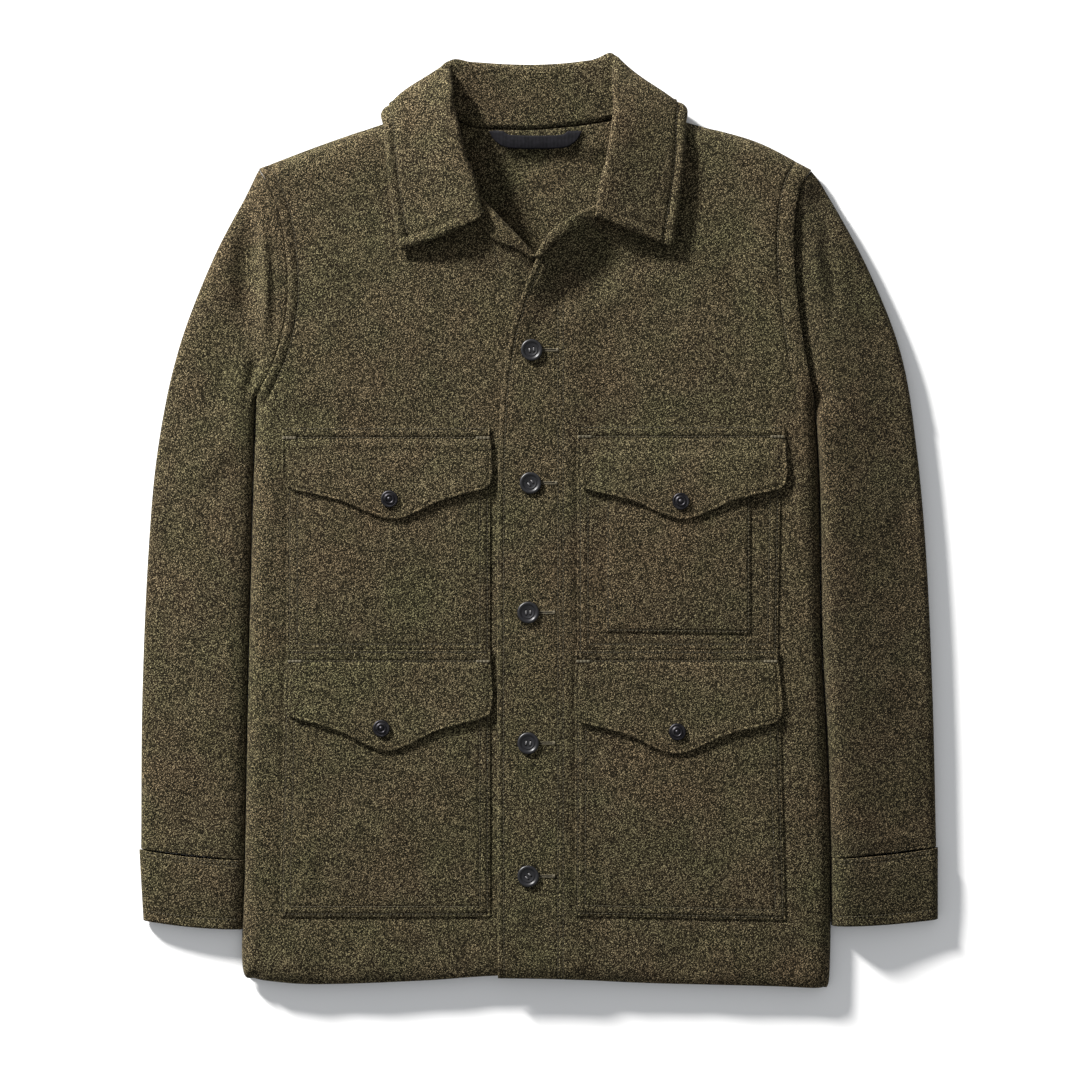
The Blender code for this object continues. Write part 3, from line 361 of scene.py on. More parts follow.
# How high each front is lifted along its lapel: x, y and the rise there
LIFTS = {
    "right": [
        (UNDERLAP_X, 180, 0), (13, 208, 1), (-1.5, 229, 4.4), (-16, 244, 6.6), (-36, 264, 8),
        (-53, 283, 6.5), (-77, 312, 3), (-87, 340, 0.5)
    ],
    "left": [
        (-28, 145, 0), (-17, 190, 5), (-1.5, 230, 10.4), (12, 250, 11.4), (31, 264, 10.2), (53, 275, 7),
        (75, 308, 3), (84, 340, 0.5)
    ],
}
# The main columns of each front: x at its top and hem, and into how many the gap before it is cut.
# The gap before the first one has the edge marks instead.
FRONT_COLUMNS = {
    "right": [
        (-9, 2, 8), (-18, -18, 7), (-28, -40, 7), (-40, -58, 6), (-53, -78, 6), (-65, -96, 6),
        (-77, -112, 6), (-88, -130, 12), (-140, -162, 15), (-172, -190, 10), (-206, -216, 16),
        (-230, -236, 20), (-240, -244, 9)
    ],
    "left": [
        (6, -17, 8), (14, 14, 8), (STEP_START_X, STEP_START_X, 12), (31, 31, 8), (42, 46, 6), (53, 62, 6),
        (64, 80, 6), (75, 98, 7), (86, 118, 12), (140, 158, 15), (172, 188, 10), (206, 216, 18),
        (225, 236, 18), (235, 246, 9)
    ],
}
BACK_COLUMNS = [-215, -172, -140, -88, -58, -20, 20, 58, 86, 140, 172, 215]

# The collar, a section at each station from the right notch, round the back of the neck, to the left
# notch: its seam, its roll, the way the cloth turns there in degrees about the neck, the size of that
# bend, the middle of its fall, its edge, and how much of the coat's loft lies under it.
COLLAR = [
    ((-58.5, 272, 17.6), (-48.5, 264, 20.6), 90, 1.9, (-84, 248.5, 17.4), (-121.5, 236.5, 11.8), 1),
    ((-63.8, 295, 14.6), (-56, 296, 20), 90, 3, (-94, 278, 17.2), (-126, 262, 11.4), 1),
    ((-73, 313.5, 12.6), (-65, 320, 20), 90, 3.2, (-101, 306, 17.6), (-130, 290, 12), 1),
    ((-80.5, 337.5, 11), (-71, 346, 19.6), 95, 3.2, (-106, 334, 18), (-133.5, 322, 13.2), 0.9),
    ((-82.5, 352, 10.2), (-76, 374, 18.4), 110, 3, (-112, 358, 17), (-135, 343, 13), 0.6),
    ((-82, 361.5, 8.6), (-79, 392, 15.4), 150, 2.9, (-118, 373.5, 12.8), (-136.5, 357, 7), 0.3),
    ((-74, 355.5, 7.4), (-78, 402, 11.4), 195, 2.8, (-106, 378, 5.4), (-121, 359, 1.5), 0),
    ((-58, 347.2, 5.6), (-56, 400, 8), 245, 2.4, (-66, 371, 2), (-86, 342, 1.5), 0),
    ((-28, 345.4, 5.2), (-28, 397.5, 6.8), 268, 2.2, (-29, 368, 1.5), (-34, 338, 1.5), 0),
    ((0, 345.2, 5.2), (0, 397, 6.6), 270, 2.2, (0, 368, 1.5), (0, 337, 1.5), 0),
    ((28, 348, 5.2), (27, 398.5, 6.8), 272, 2.2, (28, 370, 1.5), (32, 339, 1.5), 0),
    ((56, 352, 5.6), (52, 403.5, 8), 295, 2.4, (62, 374, 2), (80, 344, 1.5), 0),
    ((72, 358.5, 7.4), (67, 406.6, 11.4), 345, 2.8, (91, 381, 5.4), (115, 361, 1.5), 0),
    ((79.5, 364, 8.6), (68, 395, 15.4), 30, 2.9, (104, 377, 12.8), (129.4, 360.5, 7.4), 0.3),
    ((80, 353, 10.2), (66, 374, 18.4), 70, 3, (103, 360, 17), (128, 343, 13), 0.6),
    ((77.5, 337.5, 11), (65, 346, 19.6), 85, 3.2, (99, 336, 18), (128, 320, 13.2), 0.9),
    ((70, 310.5, 12.9), (61, 318, 20), 90, 3.2, (95, 306, 18.4), (125, 291, 13.4), 1),
    ((61, 293, 15.2), (54, 294, 20.4), 90, 3, (88, 281, 18.4), (121, 263, 13.4), 1),
    ((60, 271, 17.4), (50.5, 264.5, 21.2), 90, 1.9, (80, 253.5, 18.8), (117.5, 238.5, 13.6), 1),
]

# Soft folds, each its points, its width and its height, which is below nothing for a trough
BODY_CREASES = [
    ([(-50, 236), (-36, 208), (-27, 172), (-26, 140)], 8, -1.1),
    ([(0, 168), (18, 196), (46, 224), (82, 240)], 14, -2.2),
    ([(24, 150), (48, 182), (80, 204), (120, 214)], 12, 1.3),
    ([(158, 276), (168, 240), (176, 206), (174, 176)], 12, -1.3),
    ([(196, 296), (200, 262), (198, 226), (190, 196)], 11, 1.2),
    ([(120, 200), (150, 158), (192, 126), (224, 112)], 14, 0.9),
    ([(96, 150), (140, 124), (186, 104)], 12, -0.6),
    ([(-206, 262), (-190, 220), (-180, 176), (-184, 138)], 13, 0.9),
    ([(-168, 236), (-158, 196), (-162, 158)], 11, -0.7),
    ([(-118, 214), (-104, 176), (-98, 134), (-104, 104)], 12, 0.6),
    ([(-236, 118), (-214, 112), (-186, 116)], 9, 0.8), ([(-238, 96), (-212, 92), (-176, 100)], 9, -0.7),
    ([(-238, 66), (-233, 20), (-236, -44), (-232, -96)], 7, 0.7),
    ([(-212, -186), (-196, -214), (-176, -246), (-168, -280)], 15, -1.3),
    ([(-216, -262), (-208, -296), (-200, -330)], 11, 1.1),
    ([(-146, -226), (-128, -262), (-120, -300)], 16, 0.8),
    ([(-74, -232), (-64, -272), (-66, -318)], 12, -0.6),
    ([(-190, -26), (-170, -58), (-160, -96)], 14, 0.7), ([(-92, -18), (-80, -52), (-84, -92)], 13, -0.6),
    ([(60, -222), (84, -262), (96, -306)], 15, 0.8), ([(150, -216), (166, -256), (164, -300)], 14, -0.8),
    ([(190, -236), (198, -280), (194, -322)], 11, 0.9), ([(232, 60), (228, 0), (232, -70)], 8, 0.8),
    ([(236, -150), (230, -214), (234, -280)], 8, 0.7), ([(-8, 120), (-6, 96), (-10, 62)], 9, 0.6),
    ([(4, 10), (-2, -20), (2, -52)], 9, 0.5), ([(-14, -108), (-6, -136), (-12, -166)], 9, 0.6),
    ([(2, -222), (-4, -250), (2, -280)], 10, 0.5), ([(-6, -336), (0, -360), (-4, -392)], 12, -0.7),
    ([(-216, -404), (-212, -384), (-216, -362)], 15, 1.5),
    ([(-180, -406), (-183, -384), (-178, -360)], 13, -1.2),
    ([(-146, -404), (-148, -382), (-142, -358)], 15, 1.2),
    ([(-104, -403), (-108, -382), (-104, -362)], 16, -0.7),
    ([(-70, -400), (-66, -380), (-70, -360)], 13, -1.2), ([(28, -402), (34, -382), (30, -360)], 15, 0.9),
    ([(76, -404), (72, -384), (78, -360)], 18, 1.2), ([(122, -405), (128, -384), (122, -362)], 14, -1.1),
    ([(170, -407), (166, -384), (172, -360)], 17, 0.9),
    ([(214, -407), (218, -386), (214, -362)], 12, -0.9)
]
# Swells of the body: x, y, how wide across and along, and the height
BODY_SWELLS = [
    (-140, 160, 60, 70, 0.9), (120, 150, 60, 60, 0.8), (-130, -30, 55, 50, 0.5), (124, -30, 50, 50, 0.6),
    (-130, -270, 60, 50, 0.8), (130, -270, 60, 50, 0.7)
]
SLEEVE_CREASES = {
    "right": [
        ([(-246, 284), (-240, 240), (-238, 196), (-241, 150)], 5, 4.8),
        ([(-252, 266), (-256, 228), (-256, 190), (-251, 152)], 10, -6),
        ([(-244, 150), (-250, 128), (-254, 96)], 6, -4),
        ([(-276, 232), (-290, 190), (-296, 146)], 13, 1.8),
        ([(-262, 150), (-276, 120), (-300, 92)], 11, -0.9),
        ([(-256, 96), (-272, 66), (-298, 42), (-322, 32)], 11, 1.2),
        ([(-258, 60), (-276, 34), (-306, 14)], 9, -1), ([(-330, 24), (-322, -20), (-326, -66)], 9, -1),
        ([(-262, -4), (-282, -34), (-304, -52)], 12, 1),
        ([(-264, -80), (-284, -104), (-318, -116)], 11, -0.9),
        ([(-268, -150), (-290, -176), (-322, -190)], 12, 0.8),
        ([(-336, -150), (-326, -206), (-330, -262)], 11, 0.9),
        ([(-280, -222), (-300, -240), (-296, -272)], 13, -0.8),
        ([(-344, -276), (-306, -279), (-262, -286)], 5, 1)
    ],
    "left": [
        ([(248, 282), (252, 246), (257, 206), (258, 166)], 6, -2.4),
        ([(240, 270), (243, 230), (247, 186)], 5, 1), ([(268, 238), (284, 190), (294, 140)], 12, -1),
        ([(262, 132), (282, 104), (308, 88)], 11, 1), ([(256, 84), (278, 60), (304, 42)], 10, -1),
        ([(262, 30), (286, 8), (318, -4)], 12, 1.1), ([(326, 40), (318, -4), (322, -56)], 9, -0.8),
        ([(266, -56), (286, -82), (312, -92)], 11, -0.9),
        ([(268, -118), (292, -140), (320, -148)], 12, 0.9),
        ([(276, -186), (296, -204), (330, -212)], 11, -0.8),
        ([(334, -170), (326, -216), (332, -262)], 10, 0.8),
        ([(344, -274), (306, -277), (262, -284)], 5, 0.8)
    ],
}
COLLAR_CREASES = [
    ([(-124, 352), (-122, 310), (-116, 268)], 8, 0.5), ([(-96, 346), (-92, 310), (-84, 278)], 9, -0.6),
    ([(-110, 254), (-88, 262), (-68, 270)], 7, 0.8), ([(116, 350), (114, 310), (108, 268)], 8, 0.5),
    ([(88, 346), (84, 316), (78, 284)], 9, -0.6), ([(104, 256), (84, 266), (66, 272)], 7, 0.9)
]
# Shallow folds under the back, where the cloth lifts off the surface
BACK_CREASES = [
    ([(-190, 280), (-150, 220), (-128, 150)], 7, 1), ([(-60, 300), (-40, 210), (-48, 120)], 8, 0.7),
    ([(96, 290), (78, 200), (90, 130)], 7, 1.1), ([(176, 240), (150, 170), (156, 90)], 9, 0.8),
    ([(-220, 60), (-150, 30), (-80, 40)], 8, 0.9), ([(214, 20), (150, -10), (86, 4)], 9, 1.1),
    ([(-30, 30), (-20, -70), (-34, -150)], 8, 0.8), ([(40, -120), (60, -220), (52, -300)], 9, 1),
    ([(-196, -110), (-160, -190), (-170, -280)], 8, 1),
    ([(-110, -240), (-96, -320), (-108, -392)], 10, 1.3),
    ([(170, -150), (186, -240), (172, -330)], 8, 0.8), ([(120, -330), (128, -370), (122, -400)], 10, 1.2)
]


def side_of(name):
    return "right" if name.endswith("right") else "left"


def crease_height(creases, x, y):
    """The sum of soft ridges and troughs, each fading out towards its ends."""
    total = np.zeros(np.shape(x))
    for points, width, height in creases:
        curve = smooth_curve(points, per_span=5)
        low = curve.min(axis=0) - 2.6 * width
        high = curve.max(axis=0) + 2.6 * width
        near = (x > low[0]) & (x < high[0]) & (y > low[1]) & (y < high[1])
        if not near.any():
            continue
        distance, share = nearest_on(curve, x[near], y[near])
        fade = smoothstep(0.0, 0.35, share) * (1.0 - smoothstep(0.65, 1.0, share))
        total[near] += height * (0.15 + 0.85 * fade) * bell(distance, width)
    return total


def with_ridges(z, *ridges):
    """A height with ridges, each a distance, its place there, its height and its width."""
    for distance, place, height, width in ridges:
        z = z + height * bell(distance - place, width)
    return z


def pocket_border(pocket):
    """The four corners of a pocket, closed."""
    start = (pocket.left_top, pocket.top)
    low_right = (pocket.right_bottom, pocket.bottom + pocket.slant)
    low_left = (pocket.left_bottom, pocket.bottom)
    return np.array([start, low_left, low_right, (pocket.right_top, pocket.top), start])


def relief(x, y):
    """The folds of the body, shared by every layer that lies on the fronts."""
    height = crease_height(BODY_CREASES, x, y) + sum(
        rise * np.exp(-((x - middle_x) / across) ** 2 - ((y - middle_y) / along_y) ** 2)
        for middle_x, middle_y, across, along_y, rise in BODY_SWELLS)
    for pocket in POCKETS.values():
        depth, width = pocket.press
        height = height - depth * bell(distance_to(pocket_border(pocket), x, y), width)
    for button in BUTTONS:
        height = height - BUTTON_PRESS * bell(np.hypot(x - button.x, y - button.y), 11.0)
    return height


def back_rise(x, y):
    return NECK_RISE * smoothstep(*NECK_RISE_Y, y) * (1.0 - smoothstep(*NECK_RISE_X, np.abs(x)))


def rounded_drop(distance, drop, reach):
    """A quarter round that falls by drop over the last reach before an edge."""
    share = np.clip(1.0 - distance / reach, 0.0, 1.0)
    return drop * (1.0 - np.sqrt(1.0 - share * share))


def lapel_lift(side, x, y):
    """How far a front is lifted near its lapel."""
    knots = smooth_curve(LIFTS[side], per_span=8)
    distance, share = nearest_on(knots[:, :2], x, y)
    length = lengths_along(knots[:, :2])
    rise = np.maximum(np.interp(share * length[-1], length, knots[:, 2]), 0.0)
    return rise * bell(distance, LAPEL_REACH)


def front_bottom(side, x, y):
    """The underside of a front, over the back and, for the left front, over the under front."""
    height = FRONT_BOTTOM + lapel_lift(side, x, y) + relief(x, y)
    if side == "left":
        height = height + OVERLAP_RISE * (1.0 - smoothstep(STEP_START_X, STEP_END_X, x))
    for curves, drop, reach in ((SIDES, EDGE_DROP, EDGE_ROUND), (SHOULDERS, EDGE_DROP, SHOULDER_ROUND),
                                (HEMS, HEM_DROP, HEM_ROUND)):
        height = height - rounded_drop(distance_to(curves[side], x, y), drop, reach)
    return np.maximum(height, CLOTH + back_rise(x, y) + 2 * SEAM_GAP)


def front_top(side, x, y):
    return front_bottom(side, x, y) + CLOTH


def pocket_puff(pocket, x, y):
    return pocket.puff * smoothstep(2.0, 34.0, distance_to(pocket_border(pocket), x, y))


def pocket_middle(pocket, x, y):
    """The middle of a patch pocket's cloth, on its front or, for the pen pocket, on a pocket."""
    if pocket.name == "pocket_pen":
        step = (POCKET_CLOTH + PEN_CLOTH) / 2 + LAYER_GAP
        base = pocket_middle(POCKETS["pocket_upper_left"], x, y) + step
    else:
        base = front_top(side_of(pocket.name), x, y) + LAYER_GAP + POCKET_CLOTH / 2
    return base + pocket_puff(pocket, x, y)


def flap_low_curve(flap):
    """The lower edge of a flap, from its left side over its point to its right."""
    fall = flap.point_y - flap.corner
    halves = []
    for start in (flap.left, flap.right):
        reach = flap.point_x - start
        halves.append([(start + reach * across, flap.corner + fall * down) for across, down in FLAP_EDGE])
    return smooth_curve(halves[0] + halves[1][-2::-1], per_span=6)


def flap_middle(flap, x, y):
    """The middle of a flap's cloth: on the front at its top, then on the pockets under it."""
    pocket = POCKETS[flap.name.replace("flap", "pocket")]
    layer = POCKET_CLOTH + LAYER_GAP
    base = front_top(side_of(flap.name), x, y) + LAYER_GAP + FLAP_CLOTH / 2
    puff = pocket_puff(pocket, x, y) * ((x > pocket.left_bottom) & (x < pocket.right_bottom))
    if "lower" in flap.name:
        height = base + layer + puff
    else:
        height = base + (layer + puff) * (1.0 - smoothstep(*FLAP_STEP_Y, y))
    if flap.name == "flap_upper_left":
        across = smoothstep(*PEN_STEP_X[:2], x) * (1.0 - smoothstep(*PEN_STEP_X[2:], x))
        pen = (PEN_CLOTH + LAYER_GAP + POCKETS["pocket_pen"].puff) * across
        height = height + pen * (1.0 - smoothstep(*PEN_STEP_Y, y))
    down = smoothstep(0.0, 1.0, (flap.top - y) / (flap.top - flap.point_y))
    share = np.clip((x - flap.left) / (flap.right - flap.left), 0.0, 1.0)
    edge_lift = np.interp(share, np.linspace(0.0, 1.0, len(flap.lift)), flap.lift)
    return height + edge_lift * down * bell(distance_to(flap_low_curve(flap), x, y), 13.0)


def new_object(name, data):
    thing = bpy.data.objects.new(name, data)
    bpy.context.scene.collection.objects.link(thing)
    return thing


def put_in_scene(name, vertices, faces, material, slot="wool"):
    """One object from points in millimetres, with its faces turned outwards, on the coat's body."""
    mesh = bpy.data.meshes.new(name)
    mesh.from_pydata((np.asarray(vertices, float) * MILLIMETRE).tolist(), [], faces)
    work = bmesh.new()
    work.from_mesh(mesh)
    loose = [vertex for vertex in work.verts if not vertex.link_faces]
    bmesh.ops.delete(work, geom=loose, context="VERTS")
    bmesh.ops.recalc_face_normals(work, faces=work.faces)
    work.to_mesh(mesh)
    work.free()
    mesh.shade_smooth()
    mesh.materials.append(material)
    thing = new_object(name, mesh)
    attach(thing, "root")
    return thing


def grid_normals(grid, present):
    """Unit normals at a grid's points, from the cells that are there."""
    cells = unit(np.cross(grid[1:, 1:] - grid[:-1, :-1], grid[1:, :-1] - grid[:-1, 1:]) * present[..., None])
    normals = np.zeros_like(grid)
    for row in (slice(0, -1), slice(1, None)):
        for column in (slice(0, -1), slice(1, None)):
            normals[row, column] += cells
    return unit(normals)


def rounded_half(distance, thickness, radius=1.3):
    """Half the cloth's thickness, rounded off towards an edge."""
    share = np.clip(1.0 - distance / radius, 0.0, 1.0)
    return thickness / 2 * np.maximum(np.sqrt(1.0 - share * share), 0.16)


def shell(name, grid, half, material, present=None, slot="wool"):
    """A thin cloth shell on a grid of middle points, closed round the edge of the cells there."""
    rows, columns = grid.shape[:2]
    if present is None:
        present = np.ones((rows - 1, columns - 1))
    offset = grid_normals(grid, present) * half[..., None]
    other = rows * columns
    faces = []
    rim = set()
    for row, column in np.argwhere(present).tolist():
        corner = row * columns + column
        cell = (corner, corner + 1, corner + columns + 1, corner + columns)
        faces.append(cell)
        faces.append(tuple(index + other for index in reversed(cell)))
        for start, end in zip(cell, cell[1:] + cell[:1]):
            if (end, start) in rim:
                rim.remove((end, start))
            else:
                rim.add((start, end))
    for start, end in sorted(rim):
        faces.append((end, start, start + other, end + other))
    vertices = np.vstack([(grid + offset).reshape(-1, 3), (grid - offset).reshape(-1, 3)])
    return put_in_scene("shell_" + name, vertices, faces, material, slot)


def front_outline(side):
    """The four curves of a front: hem, top, free edge and outer side."""
    outer = [moved_along_normal(curves[side], -SEAM_GAP / 2 * INWARD[side]) for curves in (SIDES, ARMHOLES)]
    top = [curves[side][::-1] for curves in (ROLLS, NECKLINES, SHOULDERS)]
    hem = without_repeats(HEMS[side][::-1])
    return hem, without_repeats(*top), FRONT_EDGES[side], without_repeats(*outer)


def front_places(side, hem, top, edge):
    """The shares of the hem and top at every column, and each column's place in the table."""
    top_x, hem_x, cuts = zip(*FRONT_COLUMNS[side])
    first_width = abs(edge[0, 0] - hem_x[0])
    places = [mark / first_width for mark in EDGE_MARKS if mark < first_width]
    places += list(np.linspace(places[-1], 1.0, 4)[1:-1])
    for index, count in enumerate(cuts[1:] + (OUTER_CUTS,), start=1):
        places += list(index + np.linspace(0.0, 1.0, count, endpoint=False))
    places.append(len(cuts) + 1.0)
    shares = []
    for curve, x in ((hem, hem_x), (top, top_x)):
        marks = np.concatenate([[0.0], shares_at_x(curve, x), [1.0]])
        shares.append(np.interp(places, np.arange(len(marks)), marks))
    return shares[0], shares[1], np.array(places)


def make_front(side, material):
    """A front with its turned lapel, whose rows bend over the roll and lie back on the front."""
    hem, top, edge, outer = front_outline(side)
    hem_shares, top_shares, places = front_places(side, hem, top, edge)
    last_place = len(FRONT_COLUMNS[side]) + 1
    edge_pull = np.interp(places, np.arange(len(EDGE_PULLS)), EDGE_PULLS)
    outer_pull = np.interp(places, np.arange(last_place + 1 - len(OUTER_PULLS), last_place + 1), OUTER_PULLS)
    height = lengths_along(outer)[-1]
    rows = marks_over(height, 3.4, far=TOP_MARKS) / height
    plan = filled(along(hem, hem_shares), along(top, top_shares), edge, outer, edge_pull, outer_pull, rows)
    x, y = np.moveaxis(plan, -1, 0)
    from_edge, from_hem, from_armhole, from_shoulder = [
        distance_to(curve, x, y) for curve in (edge, hem, ARMHOLES[side], SHOULDERS[side])]
    z = with_ridges(front_bottom(side, x, y) + CLOTH / 2, (from_edge, 5.5, -0.6, 1.1),
                    (from_armhole, ARMHOLE_ROW[side], -0.95, 1.5), (from_edge, 2.8, 0.35, 1.8))
    if side == "right":
        z = with_ridges(z, (distance_to(OPENING_ROW, x, y), 0.0, -0.8, 1.4), (from_armhole, 3.4, 0.9, 2.8))
    else:
        z = with_ridges(z, (from_armhole, 6.0, 0.7, 5.0))
        z = z + with_ridges(0.0, *[(x, row, -0.6, 1.2) for row in PLACKET_ROWS]) * (y < PLACKET_TOP)
    z = with_ridges(z, (from_shoulder, 7.0, 0.6, 3.2))
    half = rounded_half(np.minimum(from_edge, from_hem), CLOTH)
    half = np.minimum(half, rounded_half(np.minimum(from_armhole, from_shoulder) + 0.4, CLOTH, 2.4))

    # The lapel, turned over the roll and laid back on the front
    roll_end = [column[0] for column in FRONT_COLUMNS[side]].index(ROLL_END_X[side]) + 1
    count = int(np.searchsorted(places, roll_end)) + 1
    lapel_edge = LAPEL_EDGES[side][::-1]
    last = np.dstack([plan, z])[-1]
    towards = along(lapel_edge, np.linspace(0.0, 1.0, count)) - last[:count, :2]
    reach = np.linalg.norm(towards, axis=1)
    fold_rows = []
    fold_halves = []
    for turn in np.radians(np.arange(20.0, 181.0, 20.0)):
        row = last.copy()
        row[:count, :2] -= unit(towards) * LAPEL_BEND * math.sin(turn)
        row[:count, 2] += LAPEL_BEND * (1.0 - math.cos(turn))
        fold_rows.append(row)
        fold_halves.append(half[-1])
    for share in (0.08, 0.16, 0.26, 0.36, 0.46, 0.56, 0.66, 0.76, 0.84, 0.9, 0.95, 0.985, 1.0):
        row = last.copy()
        row[:count, :2] = last[:count, :2] + towards * share
        under = front_bottom(side, row[:count, 0], row[:count, 1]) + CLOTH / 2
        blend = smoothstep(0.0, 0.4, share)
        base = last[:count, 2] * (1.0 - blend) + np.maximum(under, last[:count, 2] - 2.0) * blend
        row[:count, 2] = base + 2 * LAPEL_BEND * (1.0 - 0.12 * share ** 2)
        fold_rows.append(row)
        rim = half[-1].copy()
        rim[:count] = np.minimum(rim[:count], rounded_half((1.0 - share) * reach, CLOTH))
        fold_halves.append(rim)
    folds = np.array(fold_halves)
    ends = lengths_along(lapel_edge)[-1] * np.linspace(1.0, 0.0, count)
    folds[:, :count] = np.minimum(folds[:, :count], rounded_half(ends, CLOTH))
    grid = np.concatenate([np.dstack([plan, z]), fold_rows])
    present = np.ones((grid.shape[0] - 1, grid.shape[1] - 1))
    present[len(z) - 1:, count - 1:] = 0
    return shell("front_" + side, grid, np.concatenate([half, folds]), material, present)


def make_back(material):
    """The back panel, flat beneath but for a few shallow folds."""
    left, right = [
        without_repeats(*[moved_along_normal(curves[side], -BACK_INSET * INWARD[side])
                          for curves in (SIDES, ARMHOLES)]) for side in ("right", "left")]
    top = without_repeats(SHOULDERS["right"], BACK_NECK, SHOULDERS["left"][::-1])
    bottom = np.vstack([HEMS["right"], HEMS["left"][::-1][6:]])
    bottom = without_repeats(bottom[np.argsort(bottom[:, 0])])
    low_marks, high_marks = [
        np.concatenate([[0.0], shares_at_x(curve, BACK_COLUMNS), [1.0]]) for curve in (bottom, top)]
    count = len(low_marks)
    width = lengths_along(top)[-1]
    high_shares = marks_over(width, BACK_SPACING, SEAM_MARKS, SEAM_MARKS) / width
    places = np.interp(high_shares, high_marks, np.arange(count))
    low = along(bottom, np.interp(places, np.arange(count), low_marks))
    high = along(top, np.interp(places, np.arange(count), high_marks))
    height = lengths_along(left)[-1]
    rows = marks_over(height, BACK_SPACING, far=TOP_MARKS) / height
    left_pull = np.interp(places, np.arange(len(BACK_PULLS)), BACK_PULLS)
    right_pull = np.interp(places, np.arange(count - len(BACK_PULLS), count), BACK_PULLS[::-1])
    x, y = np.moveaxis(filled(low, high, left, right, left_pull, right_pull, rows), -1, 0)
    z = back_rise(x, y) + CLOTH / 2 + crease_height(BACK_CREASES, x, y)
    border = np.vstack([left, top, right[::-1], bottom[::-1]])
    return shell("back", np.dstack([x, y, z]), rounded_half(distance_to(border, x, y), CLOTH), material)


def tube(name, rows_of, top_of, downs, thickness, material):
    """A flattened cloth tube: rows_of gives plan rows, and top_of the height of the upper cloth."""
    side = side_of(name)
    width = 92.0
    places = marks_over(width, 3.2, FOLD_MARKS, FOLD_MARKS) / width
    ends = rows_of(side, np.array([0.0, 1.0]), downs)
    widths = np.minimum(np.linalg.norm(ends[:, 1] - ends[:, 0], axis=1), 120.0)[:, None]
    outer_share = 1.0 - places * widths / OUTER_FOLD_ROUND
    inner_share = 1.0 - (1.0 - places) * widths / INNER_FOLD_ROUND
    full = np.sqrt(1.0 - np.clip(np.maximum(outer_share, inner_share), 0.0, 1.0) ** 2)
    rings = []
    for inset in (0.0, thickness):
        across = inset / width + places * (1.0 - 2.0 * inset / width)
        grid = rows_of(side, across, downs)
        top = top_of(side, np.broadcast_to(across, full.shape), grid, downs[:, None])
        middle = np.minimum(FOLD_MIDDLE, top / 2)
        upper = np.dstack([grid, middle + (top - inset - middle) * full])
        lower = np.dstack([grid, middle - (middle - inset) * full])
        rings.append(np.concatenate([upper, lower[:, -2:0:-1]], axis=1))
    outside, inside = rings
    stations, count = outside.shape[:2]
    first_rim = (outside[0] + inside[0]) / 2
    last_rim = (outside[-1] + inside[-1]) / 2 + unit(outside[-1] - outside[-2]) * thickness * 0.32
    vertices = np.concatenate([outside.reshape(-1, 3), inside.reshape(-1, 3), first_rim, last_rim])
    other = stations * count
    first = 2 * other
    last = first + count
    faces = []
    for index in range(count):
        following = (index + 1) % count
        for station in range(stations - 1):
            a = station * count + index
            b = station * count + following
            faces.append((a, b, b + count, a + count))
            faces.append((a + other, a + other + count, b + other + count, b + other))
        faces.append((index, first + index, first + following, following))
        faces.append((first + index, other + index, other + following, first + following))
        a = (stations - 1) * count + index
        b = (stations - 1) * count + following
        faces.append((a, b, last + following, last + index))
        faces.append((last + index, last + following, other + b, other + a))
    return put_in_scene("shell_" + name, vertices, faces, material)


def crown_height(side, across):
    curve = smooth_curve(CROWNS[side], per_span=8)
    return np.interp(across, curve[:, 0], curve[:, 1])


def sleeve_rows(side, across, downs):
    """The plan of a sleeve: a row of points at each share down, at the given shares across."""
    outer = SLEEVE_OUTERS[side]
    armhole = moved_along_normal(ARMHOLES[side], SLEEVE_GAP * INWARD[side])[::-1]
    beside_body = np.vstack([outer[0], armhole[1:-1], SLEEVE_INNERS[side]])
    length = lengths_along(beside_body)
    armhole_length = length[len(armhole) - 1]
    grid = []
    for down in downs:
        fold = along(outer, [down])[0]
        start = np.interp(-fold[1], -beside_body[:, 1], length)
        end = armhole_length + (length[-1] - armhole_length) * down
        at = start + (end - start) * across
        x = np.interp(at, length, beside_body[:, 0])
        y = np.interp(at, length, beside_body[:, 1])
        shift = fold[0] - np.interp(start, length, beside_body[:, 0])
        grid.append(np.stack([x + shift * (1.0 - across), y], axis=1))
    return np.array(grid)


def sleeve_top(side, across, grid, down):
    """The height of a sleeve's upper cloth."""
    x, y = np.moveaxis(grid, -1, 0)
    from_armhole = distance_to(ARMHOLES[side], x, y)
    tip_x, tip_y = ARMHOLES[side][-1]
    from_tip = np.hypot(x - tip_x, y - tip_y)
    crown = crown_height(side, across) * smoothstep(-40.0, 60.0, from_tip)
    cap = front_top(side, x, y) - CAP_DROP[side] * smoothstep(-2.0, 64.0, from_tip)
    near = bell(from_armhole, CAP_REACH)
    height = cap * near + crown * (1.0 - near)
    folds = crease_height(SLEEVE_CREASES[side], x, y) * smoothstep(1.0, 12.0, from_armhole)
    return np.maximum(height + folds - rounded_drop(from_armhole, 1.0, 2.4), 2 * CLOTH + 0.3)


def cuff_rows(side, across, downs):
    outer_top, inner_top, outer_bottom, inner_bottom = np.array(CUFFS[side], float)
    share = np.asarray(across)[None, :, None]
    high = outer_top + (inner_top - outer_top) * share
    low = outer_bottom + (inner_bottom - outer_bottom) * share
    grid = high + (low - high) * np.asarray(downs)[:, None, None]
    grid[..., 1] -= CUFF_SAG * np.sin(np.pi * share[..., 0])
    return grid


